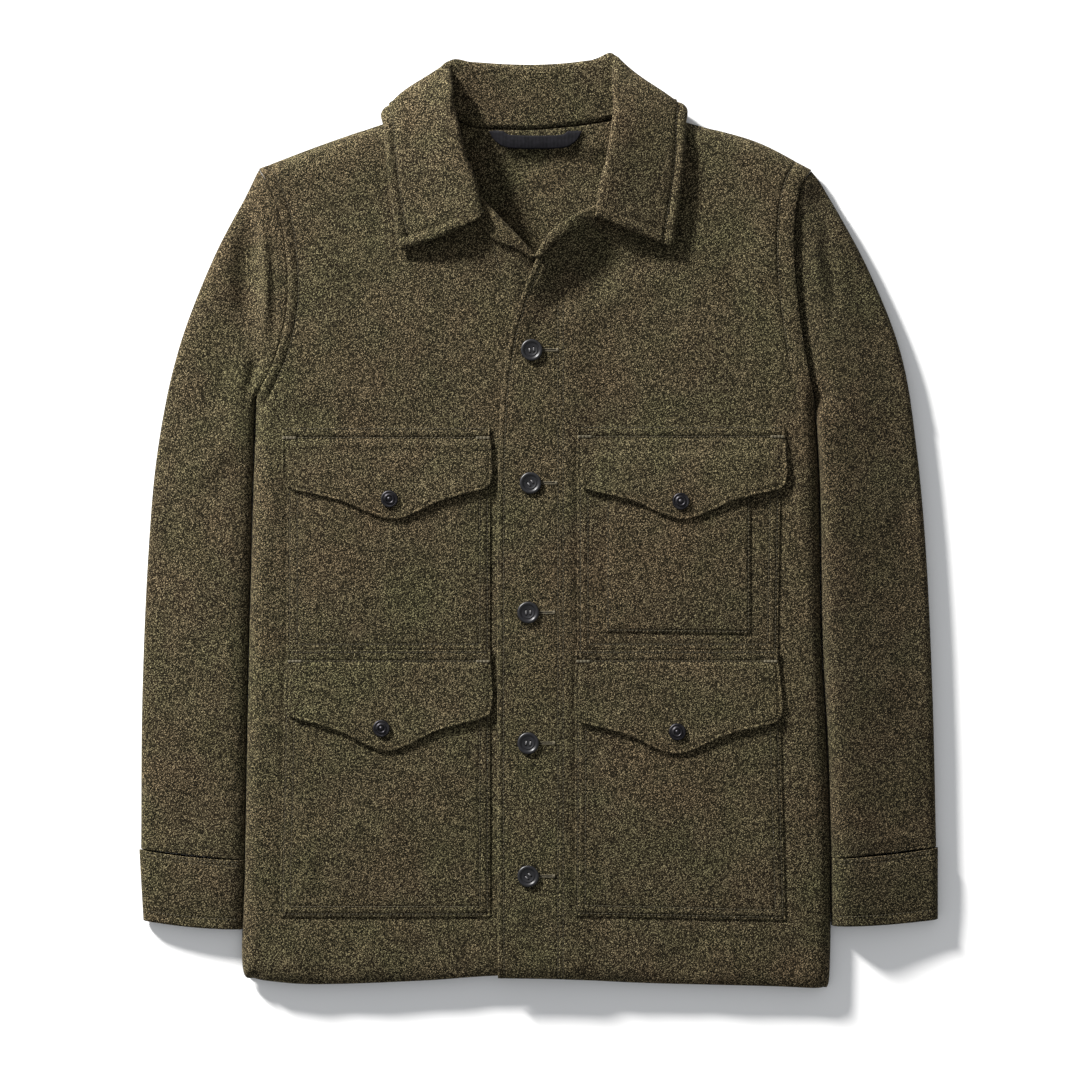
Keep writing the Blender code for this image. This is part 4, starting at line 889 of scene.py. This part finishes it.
def cuff_top(side, across, grid, down):
    """The height of a cuff's upper cloth, with its stitched grooves."""
    below = down * CUFF_LENGTH
    height = crown_height(side, across) + 0.7 - 1.3 * smoothstep(20.0, CUFF_LENGTH, below)
    height = height - rounded_drop(below, 0.9, 1.6) - rounded_drop(CUFF_LENGTH - below, 0.9, 1.6)
    ridges = zip((below,) * 3, CUFF_ROWS, (-0.5, -0.55, -0.5), (0.8, 0.9, 1.1))
    return with_ridges(height, *ridges)


def make_sleeve(side, material):
    downs = marks_over(600.0, 3.6, (0.0, 0.6, 1.5, 3.0), (0.0, 0.5, 1.2, 2.4)) / 600.0
    return tube("sleeve_" + side, sleeve_rows, sleeve_top, downs, SLEEVE_CLOTH, material)


def make_cuff(side, material):
    high = (0.0, 0.5, 1.1, 1.8, 2.6, 3.6, 4.4, 5.2, 6.0, 7.2)
    low = (0.0, 0.5, 1.1, 2.0, 4.0, 6.0, 7.6, 8.4, 9.2, 10.0, 11.4)
    downs = marks_over(CUFF_LENGTH, 2.2, high, low) / CUFF_LENGTH
    return tube("cuff_" + side, cuff_rows, cuff_top, downs, CUFF_CLOTH, material)


def collar_section(seam, roll, outward, bend, middle, edge):
    """The middle line of the collar at one station, from the seam over the roll to the edge."""
    seam, roll, middle, edge = [np.array(point, float) for point in (seam, roll, middle, edge)]
    turn = math.radians(outward)
    outward = np.array((math.cos(turn), 0.0, math.sin(turn)))
    upward = roll - (seam + middle) / 2
    upward -= outward * np.dot(upward, outward)
    upward /= np.linalg.norm(upward)
    stand_end = roll - (upward + outward) * bend
    fall_start = roll + (outward - upward) * bend
    return along(smooth_curve([seam, stand_end, roll, fall_start, middle, edge], per_span=14), COLLAR_MARKS)


def collar_grid():
    """The collar's middle points, with fine rows beside both ends."""
    stations = [np.append(collar_section(*station[:-1]), station[-1]) for station in COLLAR]
    flat = smooth_curve(stations, per_span=12)
    starts, ends = [[flat[near] + (flat[far] - flat[near]) * share for share in (0.06, 0.18, 0.42)]
                    for near, far in ((0, 1), (-1, -2))]
    flat = np.vstack([flat[:1], starts, flat[1:-1], ends[::-1], flat[-1:]])
    grid = flat[:, :-1].reshape(len(flat), -1, 3)
    grid[..., 2] += LOFT * np.clip(flat[:, -1:], 0.0, 1.0)
    return grid


def collar_edge_distance(grid):
    """How far along the cloth each point of the collar is from its free edge and from its ends."""
    steps = np.linalg.norm(np.diff(grid, axis=1), axis=2)
    to_edge = np.concatenate([np.cumsum(steps[:, ::-1], axis=1)[:, ::-1], np.zeros((len(grid), 1))], axis=1)
    down = np.linalg.norm(np.diff(grid, axis=0), axis=2)
    from_first = np.concatenate([np.zeros((1, grid.shape[1])), np.cumsum(down, axis=0)])
    return to_edge, np.minimum(from_first, from_first[-1] - from_first)


def make_collar(material):
    """The collar: its stand, roll and fall in one shell round the neck."""
    grid = collar_grid()
    to_edge, to_end = collar_edge_distance(grid)
    from_rim = np.minimum(to_edge, to_end)
    bulge = with_ridges(0.0, (to_edge, 10.0, -1.25, 1.6), (to_end, 10.0, -1.25, 1.6),
                        (from_rim, 4.2, 1.25, 3.0))
    normals = grid_normals(grid, np.ones((grid.shape[0] - 1, grid.shape[1] - 1)))
    leaf = (grid[..., 2] > 9.0) * smoothstep(0.36, 0.5, np.array(COLLAR_MARKS))
    wave = crease_height(COLLAR_CREASES, grid[..., 0], grid[..., 1]) * leaf
    grid = grid + normals * np.sign(normals[..., 2:3]) * (bulge * leaf)[..., None]
    grid[..., 2] = np.maximum(grid[..., 2] + wave, COLLAR_CLOTH / 2)
    return shell("collar", grid, rounded_half(from_rim, COLLAR_CLOTH, 1.8), material)


def make_pocket(pocket, material):
    """A patch pocket, fine along its edges and pressed down along its stitched rows."""
    width = pocket.right_top - pocket.left_top
    height = pocket.top - pocket.bottom
    across = (marks_over(width, 3.2) / width)[None, :]
    up = (marks_over(height, 3.2) / height)[:, None]
    left = pocket.left_bottom + (pocket.left_top - pocket.left_bottom) * up
    right = pocket.right_bottom + (pocket.right_top - pocket.right_bottom) * up
    x = left + (right - left) * across
    bottom = pocket.bottom + pocket.slant * across
    y = bottom + (pocket.top - bottom) * up
    distance = distance_to(pocket_border(pocket), x, y)
    z = with_ridges(pocket_middle(pocket, x, y), *[(distance, row, -0.62, 1.05) for row in pocket.rows])
    return shell(pocket.name, np.dstack([x, y, z]), rounded_half(distance, pocket.cloth, 0.9), material)


def flap_grid(flap, edge):
    """Plan points over a flap: straight rows down to its sides, then rows that follow its edge."""
    length = lengths_along(edge)[-1]
    fine = np.arange(0.0, 22.0, 1.2)
    low = along(edge, marks_over(length, 2.6, fine, fine) / length)
    share = (low[:, 0] - flap.left) / (flap.right - flap.left)
    high_x = flap.left_top + (flap.right_top - flap.left_top) * share
    drop = flap.top - flap.side_y
    rows = []
    for fall in marks_over(drop, 2.6, far=(0.0, 1.3)) / drop:
        x = high_x + (low[:, 0] - high_x) * fall
        rows.append(np.stack([x, np.full(len(x), flap.top - drop * fall)], axis=1))
    last = rows[-1]
    reach = last[:, 1].max() - low[:, 1].min()
    for step in (marks_over(reach, 2.4, near=(0.0, 1.6)) / reach)[1:]:
        rows.append(last + (low - last) * step)
    return np.array(rows)


def make_flap(flap, material):
    low = flap_low_curve(flap)
    x, y = np.moveaxis(flap_grid(flap, low), -1, 0)
    border = np.vstack([[(flap.left_top, flap.top)], low, [(flap.right_top, flap.top)]])
    from_free_edge = distance_to(border, x, y)
    from_top = flap.top - y
    z = with_ridges(flap_middle(flap, x, y), (from_top, 1.8, -0.55, 0.9), (from_top, 9.5, -0.75, 1.1),
                    (from_top, 5.4, 0.3, 2.2), (from_free_edge, 3.0, -0.45, 1.2))
    half = rounded_half(np.minimum(from_free_edge, from_top), FLAP_CLOTH, 1.1)
    return shell(flap.name, np.dstack([x, y, z]), half, material)


def make_loop(material):
    """The hanger loop, a flat tape on the inside of the back."""
    path = along(LOOP_PATH, np.linspace(0.0, 1.0, 60))
    shares = (0.0, 0.04, 0.1, 0.3, 0.5, 0.7, 0.9, 0.96, 1.0)
    grid = np.array([moved_along_normal(path, LOOP_WIDTH * (0.5 - share)) for share in shares])
    grid[..., 1] = np.minimum(grid[..., 1], LOOP_TOP_Y)
    x, y = np.moveaxis(grid, -1, 0)
    z = CLOTH + back_rise(x, y) + 2 * SEAM_GAP + TAPE / 2 + 0.5 * np.sin((x + 43.0) / 79.0 * math.pi)
    half = rounded_half(distance_to(np.vstack([grid[0], grid[-1][::-1]]), x, y), TAPE, 0.7)
    return shell("hanger_loop", np.dstack([x, y, z]), half, material, slot="loop_tape")


def turned(piece, seat, profile, radius, height, material, slot, segments=56):
    """A round piece from a profile of radius and height, turned about a vertical axis."""
    vertices = []
    faces = []
    rings = []
    for out, level in profile:
        turns = [2.0 * math.pi * segment / segments for segment in range(segments)] if out else [0.0]
        rings.append(range(len(vertices), len(vertices) + len(turns)))
        for turn in turns:
            vertices.append((piece.x + out * radius * math.cos(turn), piece.y + out * radius * math.sin(turn),
                             seat + level * height))
    for lower, upper in zip(rings, rings[1:]):
        for segment in range(segments):
            following = (segment + 1) % segments
            if len(lower) == 1:
                faces.append((lower[0], upper[following], upper[segment]))
            elif len(upper) == 1:
                faces.append((lower[segment], lower[following], upper[0]))
            else:
                faces.append((lower[segment], lower[following], upper[following], upper[segment]))
    return put_in_scene("shell_" + piece.name, vertices, faces, material, slot)


def highest_under(piece, radius, height):
    turns = np.linspace(0.0, 2.0 * math.pi, 25)
    x, y = [np.concatenate([[middle], middle + radius * wave(turns), middle + radius / 2 * wave(turns)])
            for middle, wave in ((piece.x, np.cos), (piece.y, np.sin))]
    return float(np.max(height(x, y)))


def hole_places(button):
    """The middles of a button's four holes."""
    angles = [math.radians(button.turn + 45.0 + 90.0 * index) for index in range(4)]
    return [(button.x + HOLE_RING * math.cos(angle), button.y + HOLE_RING * math.sin(angle))
            for angle in angles]


def make_button(button, seat, material):
    """A four-hole button with a raised round rim."""
    thing = turned(button, seat, BUTTON_PROFILE, BUTTON_DIAMETER / 2, BUTTON_HEIGHT, material,
                   "button_plastic")
    work = bmesh.new()
    for x, y in hole_places(button):
        centre = Vector((x, y, seat + BUTTON_HEIGHT / 2))
        rings = ([], [])
        for segment in range(20):
            turn = 2.0 * math.pi * segment / 20
            offset = Vector((HOLE_RADIUS * math.cos(turn), HOLE_RADIUS * math.sin(turn), 0.0))
            for ring, rise in zip(rings, (-BUTTON_HEIGHT, BUTTON_HEIGHT)):
                ring.append(work.verts.new((centre + offset + Vector((0.0, 0.0, rise))) * MILLIMETRE))
        low, high = rings
        for segment in range(20):
            following = (segment + 1) % 20
            work.faces.new((low[segment], low[following], high[following], high[segment]))
        work.faces.new(low[::-1])
        work.faces.new(high)
    cutter_mesh = bpy.data.meshes.new("holes")
    work.to_mesh(cutter_mesh)
    work.free()
    cutter = new_object("holes", cutter_mesh)
    cut = thing.modifiers.new("holes", "BOOLEAN")
    cut.operation = "DIFFERENCE"
    cut.solver = "EXACT"
    cut.object = cutter
    bpy.context.view_layer.update()
    applied = bpy.data.meshes.new_from_object(thing.evaluated_get(bpy.context.evaluated_depsgraph_get()))
    thing.modifiers.clear()
    thing.data = applied
    thing.data.shade_smooth()
    thing.data.set_sharp_from_angle(angle=math.radians(50.0))
    bpy.data.objects.remove(cutter, do_unlink=True)
    return thing


def stroke(points, radius, thread, sides=4):
    """A thin closed thread through the given points, added to the thread's points and faces."""
    vertices, faces = thread
    points = np.asarray(points, float)
    start = len(vertices)
    for index, (point, tangent) in enumerate(zip(points, unit(np.gradient(points, axis=0)))):
        side = np.cross(tangent, (0.0, 0.0, 1.0))
        side /= max(np.linalg.norm(side), 1e-9)
        up = np.cross(side, tangent)
        size = radius * (0.45 if index in (0, len(points) - 1) else 1.0)
        for corner in range(sides):
            turn = 2.0 * math.pi * corner / sides
            vertices.append(tuple(point + (side * math.cos(turn) + up * math.sin(turn)) * size))
    for index in range(len(points) - 1):
        for corner in range(sides):
            a = start + index * sides + corner
            b = start + index * sides + (corner + 1) % sides
            faces.append((a, b, b + sides, a + sides))
    faces.append(tuple(start + corner for corner in reversed(range(sides))))
    faces.append(tuple(start + (len(points) - 1) * sides + corner for corner in range(sides)))


def stitch_row(curve, height, thread):
    """A row of stitches along a plan curve, each dipping into the cloth at its ends."""
    length = lengths_along(curve)[-1]
    count = max(1, int(length / STITCH_SPACING))
    places = (np.arange(count) + 0.5) * STITCH_SPACING + (length - count * STITCH_SPACING) / 2
    offsets = np.array((-0.5, -0.22, 0.22, 0.5)) * STITCH
    points = along(curve, np.clip((places[:, None] + offsets).ravel() / length, 0.0, 1.0))
    z = height(points[:, 0], points[:, 1]) + np.tile((-0.28, 0.1, 0.1, -0.28), count)
    for one in np.column_stack([points, z]).reshape(count, 4, 3):
        stroke(one, STITCH_RADIUS, thread)


def bar_tack(x, y, length, angle, height, thread):
    """A bar of thread: close rows of long stitches, side by side."""
    direction = np.array((math.cos(math.radians(angle)), math.sin(math.radians(angle))))
    across = np.array((-direction[1], direction[0]))
    count = max(1, int(length / 3.0))
    step = length / count
    for offset in (-0.62, 0.0, 0.62):
        for index in range(count):
            shifts = np.array((-0.55, -0.3, 0.3, 0.55)) * step + (index - (count - 1) / 2) * step
            ends = np.array((x, y)) + direction * shifts[:, None] + across * offset
            z = height(ends[:, 0], ends[:, 1]) + np.array((0.05, 0.42, 0.42, 0.05))
            stroke(np.column_stack([ends, z]), 0.36, thread)


def straight(start, end):
    span = np.array(end) - np.array(start)
    return np.array([np.array(start) + span * share for share in np.linspace(0.0, 1.0, 12)])


def collar_stitch_path():
    """The points of the collar's stitched row, a little in from its free edge, in two parts."""
    grid = collar_grid()
    path = []
    for row, to_edge, to_end in zip(grid, *collar_edge_distance(grid)):
        point = [np.interp(10.0, to_edge[::-1], values) for values in row[::-1].T]
        if to_end[-1] >= 9.5 and point[2] > 11.0 + LOFT * 0.2:
            path.append(point)
    path = np.array(path)
    split = int(np.argmax(np.linalg.norm(np.diff(path[:, :2], axis=0), axis=1))) + 1
    return path[:split], path[split:]


def make_stitching(material, pale):
    """All of the coat's visible stitches, as three meshes of thread."""
    body = ([], [])
    trim = ([], [])
    tacks = ([], [])

    def on_front(side):
        return lambda x, y: front_top(side, x, y) - 0.22

    for side, shift in (("right", 0.0), ("left", 0.4)):
        armhole = moved_along_normal(ARMHOLES[side], -(ARMHOLE_ROW[side] - shift) * INWARD[side])
        stitch_row(armhole[6:-4], on_front(side), body)
    stitch_row(OPENING_ROW, on_front("right"), body)
    stitch_row(moved_along_normal(FRONT_EDGES["left"], -5.5)[:-2], on_front("left"), body)
    for x in PLACKET_ROWS:
        stitch_row(straight((x, -398.0), (x, 190.0)), on_front("left"), body)
    for pocket in POCKETS.values():
        top = pocket.top - (4.0 if "lower" in pocket.name else 6.0)
        for row in pocket.rows:
            path = [(pocket.left_top + row, top), (pocket.left_bottom + row, pocket.bottom + row),
                    (pocket.right_bottom - row, pocket.bottom + row + pocket.slant),
                    (pocket.right_top - row, top)]
            for start, end in zip(path, path[1:]):
                stitch_row(straight(start, end),
                           lambda x, y: pocket_middle(pocket, x, y) + POCKET_CLOTH / 2 - 0.2, trim)
    for flap in FLAPS:
        def surface(x, y):
            return flap_middle(flap, x, y) + FLAP_CLOTH / 2 - 0.2

        for down, inset in ((1.8, 1.5), (9.5, 12.0)):
            ends = [(x, flap.top - down) for x in (flap.left_top + inset, flap.right_top - inset)]
            stitch_row(straight(*ends), surface, trim)
        for x in (flap.left_top + 6.5, flap.right_top - 6.5):
            bar_tack(x, flap.top - 9.5, 12.0, 0.0, surface, tacks)
    for side in ("right", "left"):
        (outer_x, outer_y), (inner_x, inner_y) = CUFFS[side][:2]

        def surface(x, y):
            across = np.clip((x - outer_x) / (inner_x - outer_x), 0.0, 1.0)
            high = outer_y + (inner_y - outer_y) * across - CUFF_SAG * np.sin(np.pi * across)
            return cuff_top(side, across, None, np.clip((high - y) / CUFF_LENGTH, 0.0, 1.0)) - 0.05

        for below in CUFF_ROWS:
            row = cuff_rows(side, np.linspace(0.05, 0.95, 40), [below / CUFF_LENGTH])[0]
            stitch_row(row, surface, trim)
    for part in collar_stitch_path():
        if len(part) > 3:
            order = np.argsort(part[:, 1])
            stitch_row(part[:, :2], lambda x, y: np.interp(y, part[order, 1], part[order, 2])
                       + COLLAR_CLOTH / 2 - 0.45, trim)
    put_in_scene("stitching_body", *body, material)
    put_in_scene("stitching_trim", *trim, material)
    put_in_scene("bar_tacks", *tacks, pale)


def make_buttonholes(material, dark):
    """Worked buttonholes: two close rows of thread, with a dark thread along the slit between them as painted
    shade.
    """
    thread = ([], [])
    slit = ([], [])

    def surface(x, y):
        return front_top("left", x, y)

    for button in BUTTONS:
        start = button.x + 6.0
        end = button.x + 22.0
        for sign in (-1.0, 1.0):
            for x in np.arange(start, end, 0.7):
                ends = np.array([(x, button.y + sign * out) for out in (0.4, 0.9, 1.35)])
                z = surface(ends[:, 0], ends[:, 1]) + np.array((0.1, 0.4, 0.0))
                stroke(np.column_stack([ends, z]), 0.34, thread)
        # A dark thread along the slit: painted shade where the slit's gap lies in shadow
        row = straight((start, button.y), (end, button.y))
        stroke(np.column_stack([row, surface(row[:, 0], row[:, 1]) + 0.05]), 0.3, slit)
        bar_tack(end + 0.4, button.y, 3.0, 90.0, surface, thread)
    put_in_scene("buttonhole_thread", *thread, material)
    put_in_scene("buttonhole_slits", *slit, dark)


def make_button_threads(seats, material):
    """The thread that holds each button, through its four holes."""
    threads = ([], [])
    wrap = ((0.0, 0.7), (0.08, 1.4), (0.25, 1.8), (0.5, 1.9), (0.75, 1.8), (0.92, 1.4), (1.0, 0.7))
    for button in BUTTONS:
        holes = [np.array(place) for place in hole_places(button)]
        for start, end in ((holes[0], holes[3]), (holes[1], holes[2])):
            direction = (end - start) / np.linalg.norm(end - start)
            for offset in (-0.3, 0.0, 0.3):
                side = np.array((-direction[1], direction[0])) * offset
                points = [(*(start + (end - start) * share + side), seats[button.name] + level)
                          for share, level in wrap]
                stroke(points, 0.27, threads, sides=6)
    put_in_scene("button_threads", *threads, material, slot="button_plastic")


class Nodes:
    """Short calls that add shader nodes. Every pattern is in the cloth's own object coordinates."""

    def __init__(self, name):
        self.material = bpy.data.materials.new(name)
        self.material.use_nodes = True
        self.tree = self.material.node_tree

    def put(self, node, inputs):
        """Sets a node's inputs to values, or links them to other nodes' outputs."""
        for name, value in inputs.items():
            if isinstance(value, bpy.types.NodeSocket):
                self.tree.links.new(value, node.inputs[name])
            else:
                node.inputs[name].default_value = value

    def add(self, kind, output, inputs, **settings):
        node = self.tree.nodes.new("ShaderNode" + kind)
        for key, value in settings.items():
            setattr(node, key, value)
        self.put(node, inputs)
        return node.outputs[output]

    def finish(self, colour, roughness, inputs):
        """The material, with its surface's colour, roughness and other inputs."""
        self.put(self.tree.nodes["Principled BSDF"], {"Base Color": colour, "Roughness": roughness, **inputs})
        return self.material

    def places(self, scale=(1.0, 1.0, 1.0), turn=0.0):
        source = self.add("TexCoord", "Object", {})
        inputs = {"Rotation": (0.0, 0.0, math.radians(turn)), "Scale": scale, "Vector": source}
        return self.add("Mapping", "Vector", inputs, vector_type="TEXTURE")

    def cells(self, vector, scale):
        """A random value for each small cell."""
        inputs = {"Scale": scale, "Randomness": 1.0, "Vector": vector}
        colour = self.add("TexVoronoi", "Color", inputs, feature="F1")
        return self.add("SeparateColor", "Red", {"Color": colour})

    def noise(self, vector, scale, detail, roughness):
        inputs = {"Scale": scale, "Detail": detail, "Roughness": roughness, "Vector": vector}
        return self.add("TexNoise", "Fac", inputs)

    def ramp(self, value, *stops):
        colour = self.add("ValToRGB", "Color", {"Fac": value})
        elements = colour.node.color_ramp.elements
        while len(elements) < len(stops):
            elements.new(0.5)
        for element, (place, tone) in zip(elements, stops):
            element.position = place
            element.color = (*tone, 1.0)
        return colour

    def range(self, value, low, high, to_low, to_high):
        inputs = {"From Min": low, "From Max": high, "To Min": to_low, "To Max": to_high, "Value": value}
        return self.add("MapRange", "Result", inputs)

    def times(self, first, second):
        """One colour multiplied by another."""
        return self.add("Mix", 2, {0: 1.0, 6: first, 7: second}, data_type="RGBA", blend_type="MULTIPLY")

    def bump(self, height, strength, distance, **more):
        inputs = {"Strength": strength, "Distance": distance, "Height": height, **more}
        return self.add("Bump", "Normal", inputs)


def wool_material(name, painted_shade_gain=1.0):
    """Milled wool twill: pale and dark flecks along a faint diagonal, with brown and green blotches; a gain
    below one darkens all of it as painted shade.
    """
    look = Nodes(name)
    weave = look.places((1.6, 1.0, 1.0), 50.0)
    colour = look.ramp(
        look.cells(weave, 2600.0),
        (0.30, (0.0036, 0.0029, 0.0013)),
        (0.55, (0.0125, 0.0098, 0.0047)),
        (0.72, (0.0270, 0.0212, 0.0104)),
        (0.84, (0.0720, 0.0575, 0.0298)),
        (0.95, (0.2950, 0.2400, 0.1375)))
    broad = look.noise(look.places((1.4, 1.0, 1.0), 20.0), 8.0, 2.0, 0.5)
    colour = look.times(colour, look.ramp(
        look.range(broad, 0.35, 0.65, 0.0, 1.0),
        (0.0, (0.97, 1.02, 0.97)), (0.5, (1.0, 1.0, 1.0)), (1.0, (1.03, 0.99, 0.99))))
    blotch = look.noise(look.places(), 26.0, 3.0, 0.55)
    colour = look.times(colour, look.ramp(
        look.range(blotch, 0.36, 0.64, 0.0, 1.0),
        (0.0, (0.95, 1.0, 0.95)), (0.5, (1.0, 1.0, 1.0)), (1.0, (1.05, 1.0, 1.01))))
    mottle = look.noise(look.places(), 210.0, 2.0, 0.6)
    # A gain below one darkens the whole wool as painted shade
    shade = look.range(mottle, 0.3, 0.7, 0.94 * painted_shade_gain, 1.06 * painted_shade_gain)
    grey = look.add("CombineColor", "Color", {"Red": shade, "Green": shade, "Blue": shade})
    colour = look.times(colour, grey)
    nap = look.noise(look.places((2.4, 1.0, 1.0), 55.0), 620.0, 3.0, 0.65)
    fine = look.noise(weave, 1500.0, 2.0, 0.7)
    return look.finish(colour, 0.95, {
        "Specular IOR Level": 0.08, "Sheen Weight": 0.03, "Sheen Roughness": 0.55,
        "Sheen Tint": (0.75, 0.68, 0.5, 1.0),
        "Normal": look.bump(fine, 0.6, 0.00035, Normal=look.bump(nap, 0.3, 0.0005))})


def thread_material(name, dark, pale):
    """Twisted thread between two tones."""
    look = Nodes(name)
    twist = look.noise(look.places((1.0, 1.0, 1.0), 45.0), 1400.0, 1.0, 0.5)
    return look.finish(look.ramp(twist, (0.35, dark), (0.65, pale)), 0.7, {
        "Specular IOR Level": 0.3, "Normal": look.bump(twist, 0.4, 0.0002)})


def tape_material():
    """Near-black woven tape with fine crosswise ribs."""
    look = Nodes("loop_tape")
    inputs = {"Scale": 260.0, "Distortion": 1.2, "Detail": 2.0, "Vector": look.places()}
    ribs = look.add("TexWave", "Fac", inputs, wave_type="BANDS", bands_direction="X")
    worn = look.noise(look.places(), 300.0, 2.0, 0.6)
    colour = look.ramp(worn, (0.3, (0.002, 0.002, 0.003)), (0.7, (0.008, 0.0075, 0.010)))
    return look.finish(colour, look.range(worn, 0.3, 0.7, 0.6, 0.8), {
        "Specular IOR Level": 0.12, "Normal": look.bump(ribs, 0.4, 0.0003)})


def button_material():
    """Dark polished button plastic with a faint cloudy grain and fine scratches."""
    look = Nodes("button_plastic")
    cloud = look.noise(look.places((1.6, 1.0, 1.0), 25.0), 160.0, 3.0, 0.6)
    scratch = look.noise(look.places((12.0, 1.0, 1.0), 63.0), 900.0, 2.0, 0.6)
    colour = look.ramp(cloud, (0.3, (0.0022, 0.0021, 0.0028)), (0.7, (0.0075, 0.007, 0.009)))
    return look.finish(colour, look.range(scratch, 0.3, 0.75, 0.38, 0.46), {
        "Specular IOR Level": 0.5, "Normal": look.bump(scratch, 0.06, 0.0001)})


def snap_material():
    """Glossy gunmetal, a little lighter where it is handled."""
    look = Nodes("snap_metal")
    wear = look.noise(look.places(), 240.0, 3.0, 0.6)
    colour = look.ramp(wear, (0.35, (0.020, 0.019, 0.022)), (0.7, (0.050, 0.048, 0.051)))
    return look.finish(colour, look.range(wear, 0.3, 0.7, 0.4, 0.48), {
        "Metallic": 1.0, "Normal": look.bump(wear, 0.05, 0.0001)})


def slit_shade_material():
    """Painted shade for the inside of a buttonhole's slit."""
    look = Nodes("buttonhole_dark")
    fibre = look.noise(look.places(), 900.0, 2.0, 0.5)
    colour = look.ramp(fibre, (0.3, (0.004, 0.0035, 0.0025)), (0.7, (0.012, 0.010, 0.007)))
    return look.finish(colour, 0.95, {})


def floor_material():
    look = Nodes("pale_floor")
    grain = look.noise(look.places(), 3.0, 2.0, 0.5)
    colour = look.ramp(grain, (0.3, (0.945, 0.945, 0.95)), (0.7, (0.96, 0.96, 0.96)))
    return look.finish(colour, 0.9, {"Specular IOR Level": 0.1})


def make_floor():
    mesh = bpy.data.meshes.new("floor")
    corners = [(12.0 * x, 12.0 * y, 0.0) for x, y in ((-1, -1), (1, -1), (1, 1), (-1, 1))]
    mesh.from_pydata(corners, [], [(0, 1, 2, 3)])
    mesh.materials.append(floor_material())
    floor = new_object("floor", mesh)
    floor.location.z = -0.0002


# The key light: where it comes from in degrees, how far it is and how wide, in metres
KEY_ELEVATION = 18.5
KEY_AZIMUTH = 40.0
KEY_DISTANCE = 4.0
KEY_SIZE = 0.58
KEY_POWER = 600.0
KEY_AIM = (-0.05, 0.02, 0.0)
FILL = 0.47


def make_lights():
    elevation = math.radians(KEY_ELEVATION)
    azimuth = math.radians(KEY_AZIMUTH)
    flat = math.cos(elevation)
    towards = Vector((-math.sin(azimuth) * flat, math.cos(azimuth) * flat, math.sin(elevation)))
    light = bpy.data.lights.new("key", "AREA")
    light.shape = "DISK"
    light.size = KEY_SIZE
    light.energy = KEY_POWER
    light.color = (1.0, 0.985, 0.96)
    lamp = new_object("key", light)
    lamp.location = Vector(KEY_AIM) + towards * KEY_DISTANCE
    lamp.rotation_mode = "QUATERNION"
    lamp.rotation_quaternion = (-towards).to_track_quat("-Z", "Y")
    world = bpy.data.worlds.new("studio")
    world.use_nodes = True
    background = world.node_tree.nodes["Background"]
    background.inputs["Color"].default_value = (0.96, 0.98, 1.0, 1.0)
    background.inputs["Strength"].default_value = FILL
    bpy.context.scene.world = world


def make_camera():
    camera = bpy.data.cameras.new("camera")
    camera.lens = 100.0
    camera.sensor_width = 36.0
    camera.clip_end = 100.0
    view = new_object("camera", camera)
    view.location = (0.0013, -0.0158, 2.635)
    view.rotation_euler = (0.0, 0.0, 0.0)
    bpy.context.scene.camera = view
    bpy.context.scene.view_settings.view_transform = "Standard"
    bpy.context.scene.view_settings.look = "None"


Cut = namedtuple("Cut", "name width length area held rests_on")


def build():
    wool = wool_material("wool")
    # The wool of the left sleeve and cuff is painted darker: painted shade for the light that falls off on
    # that side
    painted_shade_wool = wool_material("wool_left_sleeve", 0.78)
    thread = thread_material("coat_thread", (0.024, 0.020, 0.011), (0.086, 0.072, 0.043))
    pale = thread_material("tack_thread", (0.080, 0.069, 0.044), (0.165, 0.142, 0.094))
    grey = thread_material("button_thread", (0.050, 0.048, 0.050), (0.200, 0.195, 0.195))
    pieces = {"back": make_back(wool)}
    for side, cloth in (("right", wool), ("left", painted_shade_wool)):
        pieces["front_" + side] = make_front(side, wool)
        pieces["sleeve_" + side] = make_sleeve(side, cloth)
        pieces["cuff_" + side] = make_cuff(side, cloth)
    pieces["collar"] = make_collar(wool)
    pieces["hanger_loop"] = make_loop(tape_material())
    for pocket in POCKETS.values():
        pieces[pocket.name] = make_pocket(pocket, wool)
    for flap in FLAPS:
        pieces[flap.name] = make_flap(flap, wool)
    plastic = button_material()
    seats = {}
    for button in BUTTONS:
        reach = BUTTON_DIAMETER / 2 * 0.55
        seats[button.name] = highest_under(button, reach, lambda x, y: front_top("left", x, y))
        pieces[button.name] = make_button(button, seats[button.name], plastic)
    metal = snap_material()
    for snap, flap in zip(SNAPS, FLAPS):
        seat = highest_under(snap, SNAP_DIAMETER * 0.4, lambda x, y: flap_middle(flap, x, y))
        pieces[snap.name] = turned(snap, seat + FLAP_CLOTH / 2 - 0.2, SNAP_PROFILE, SNAP_DIAMETER / 2,
                                   SNAP_HEIGHT, metal, "snap_metal")
    for name, piece in pieces.items():
        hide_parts(name)
    make_stitching(thread, pale)
    make_buttonholes(pale, slit_shade_material())
    make_button_threads(seats, grey)


build()
make_floor()
make_lights()
make_camera()
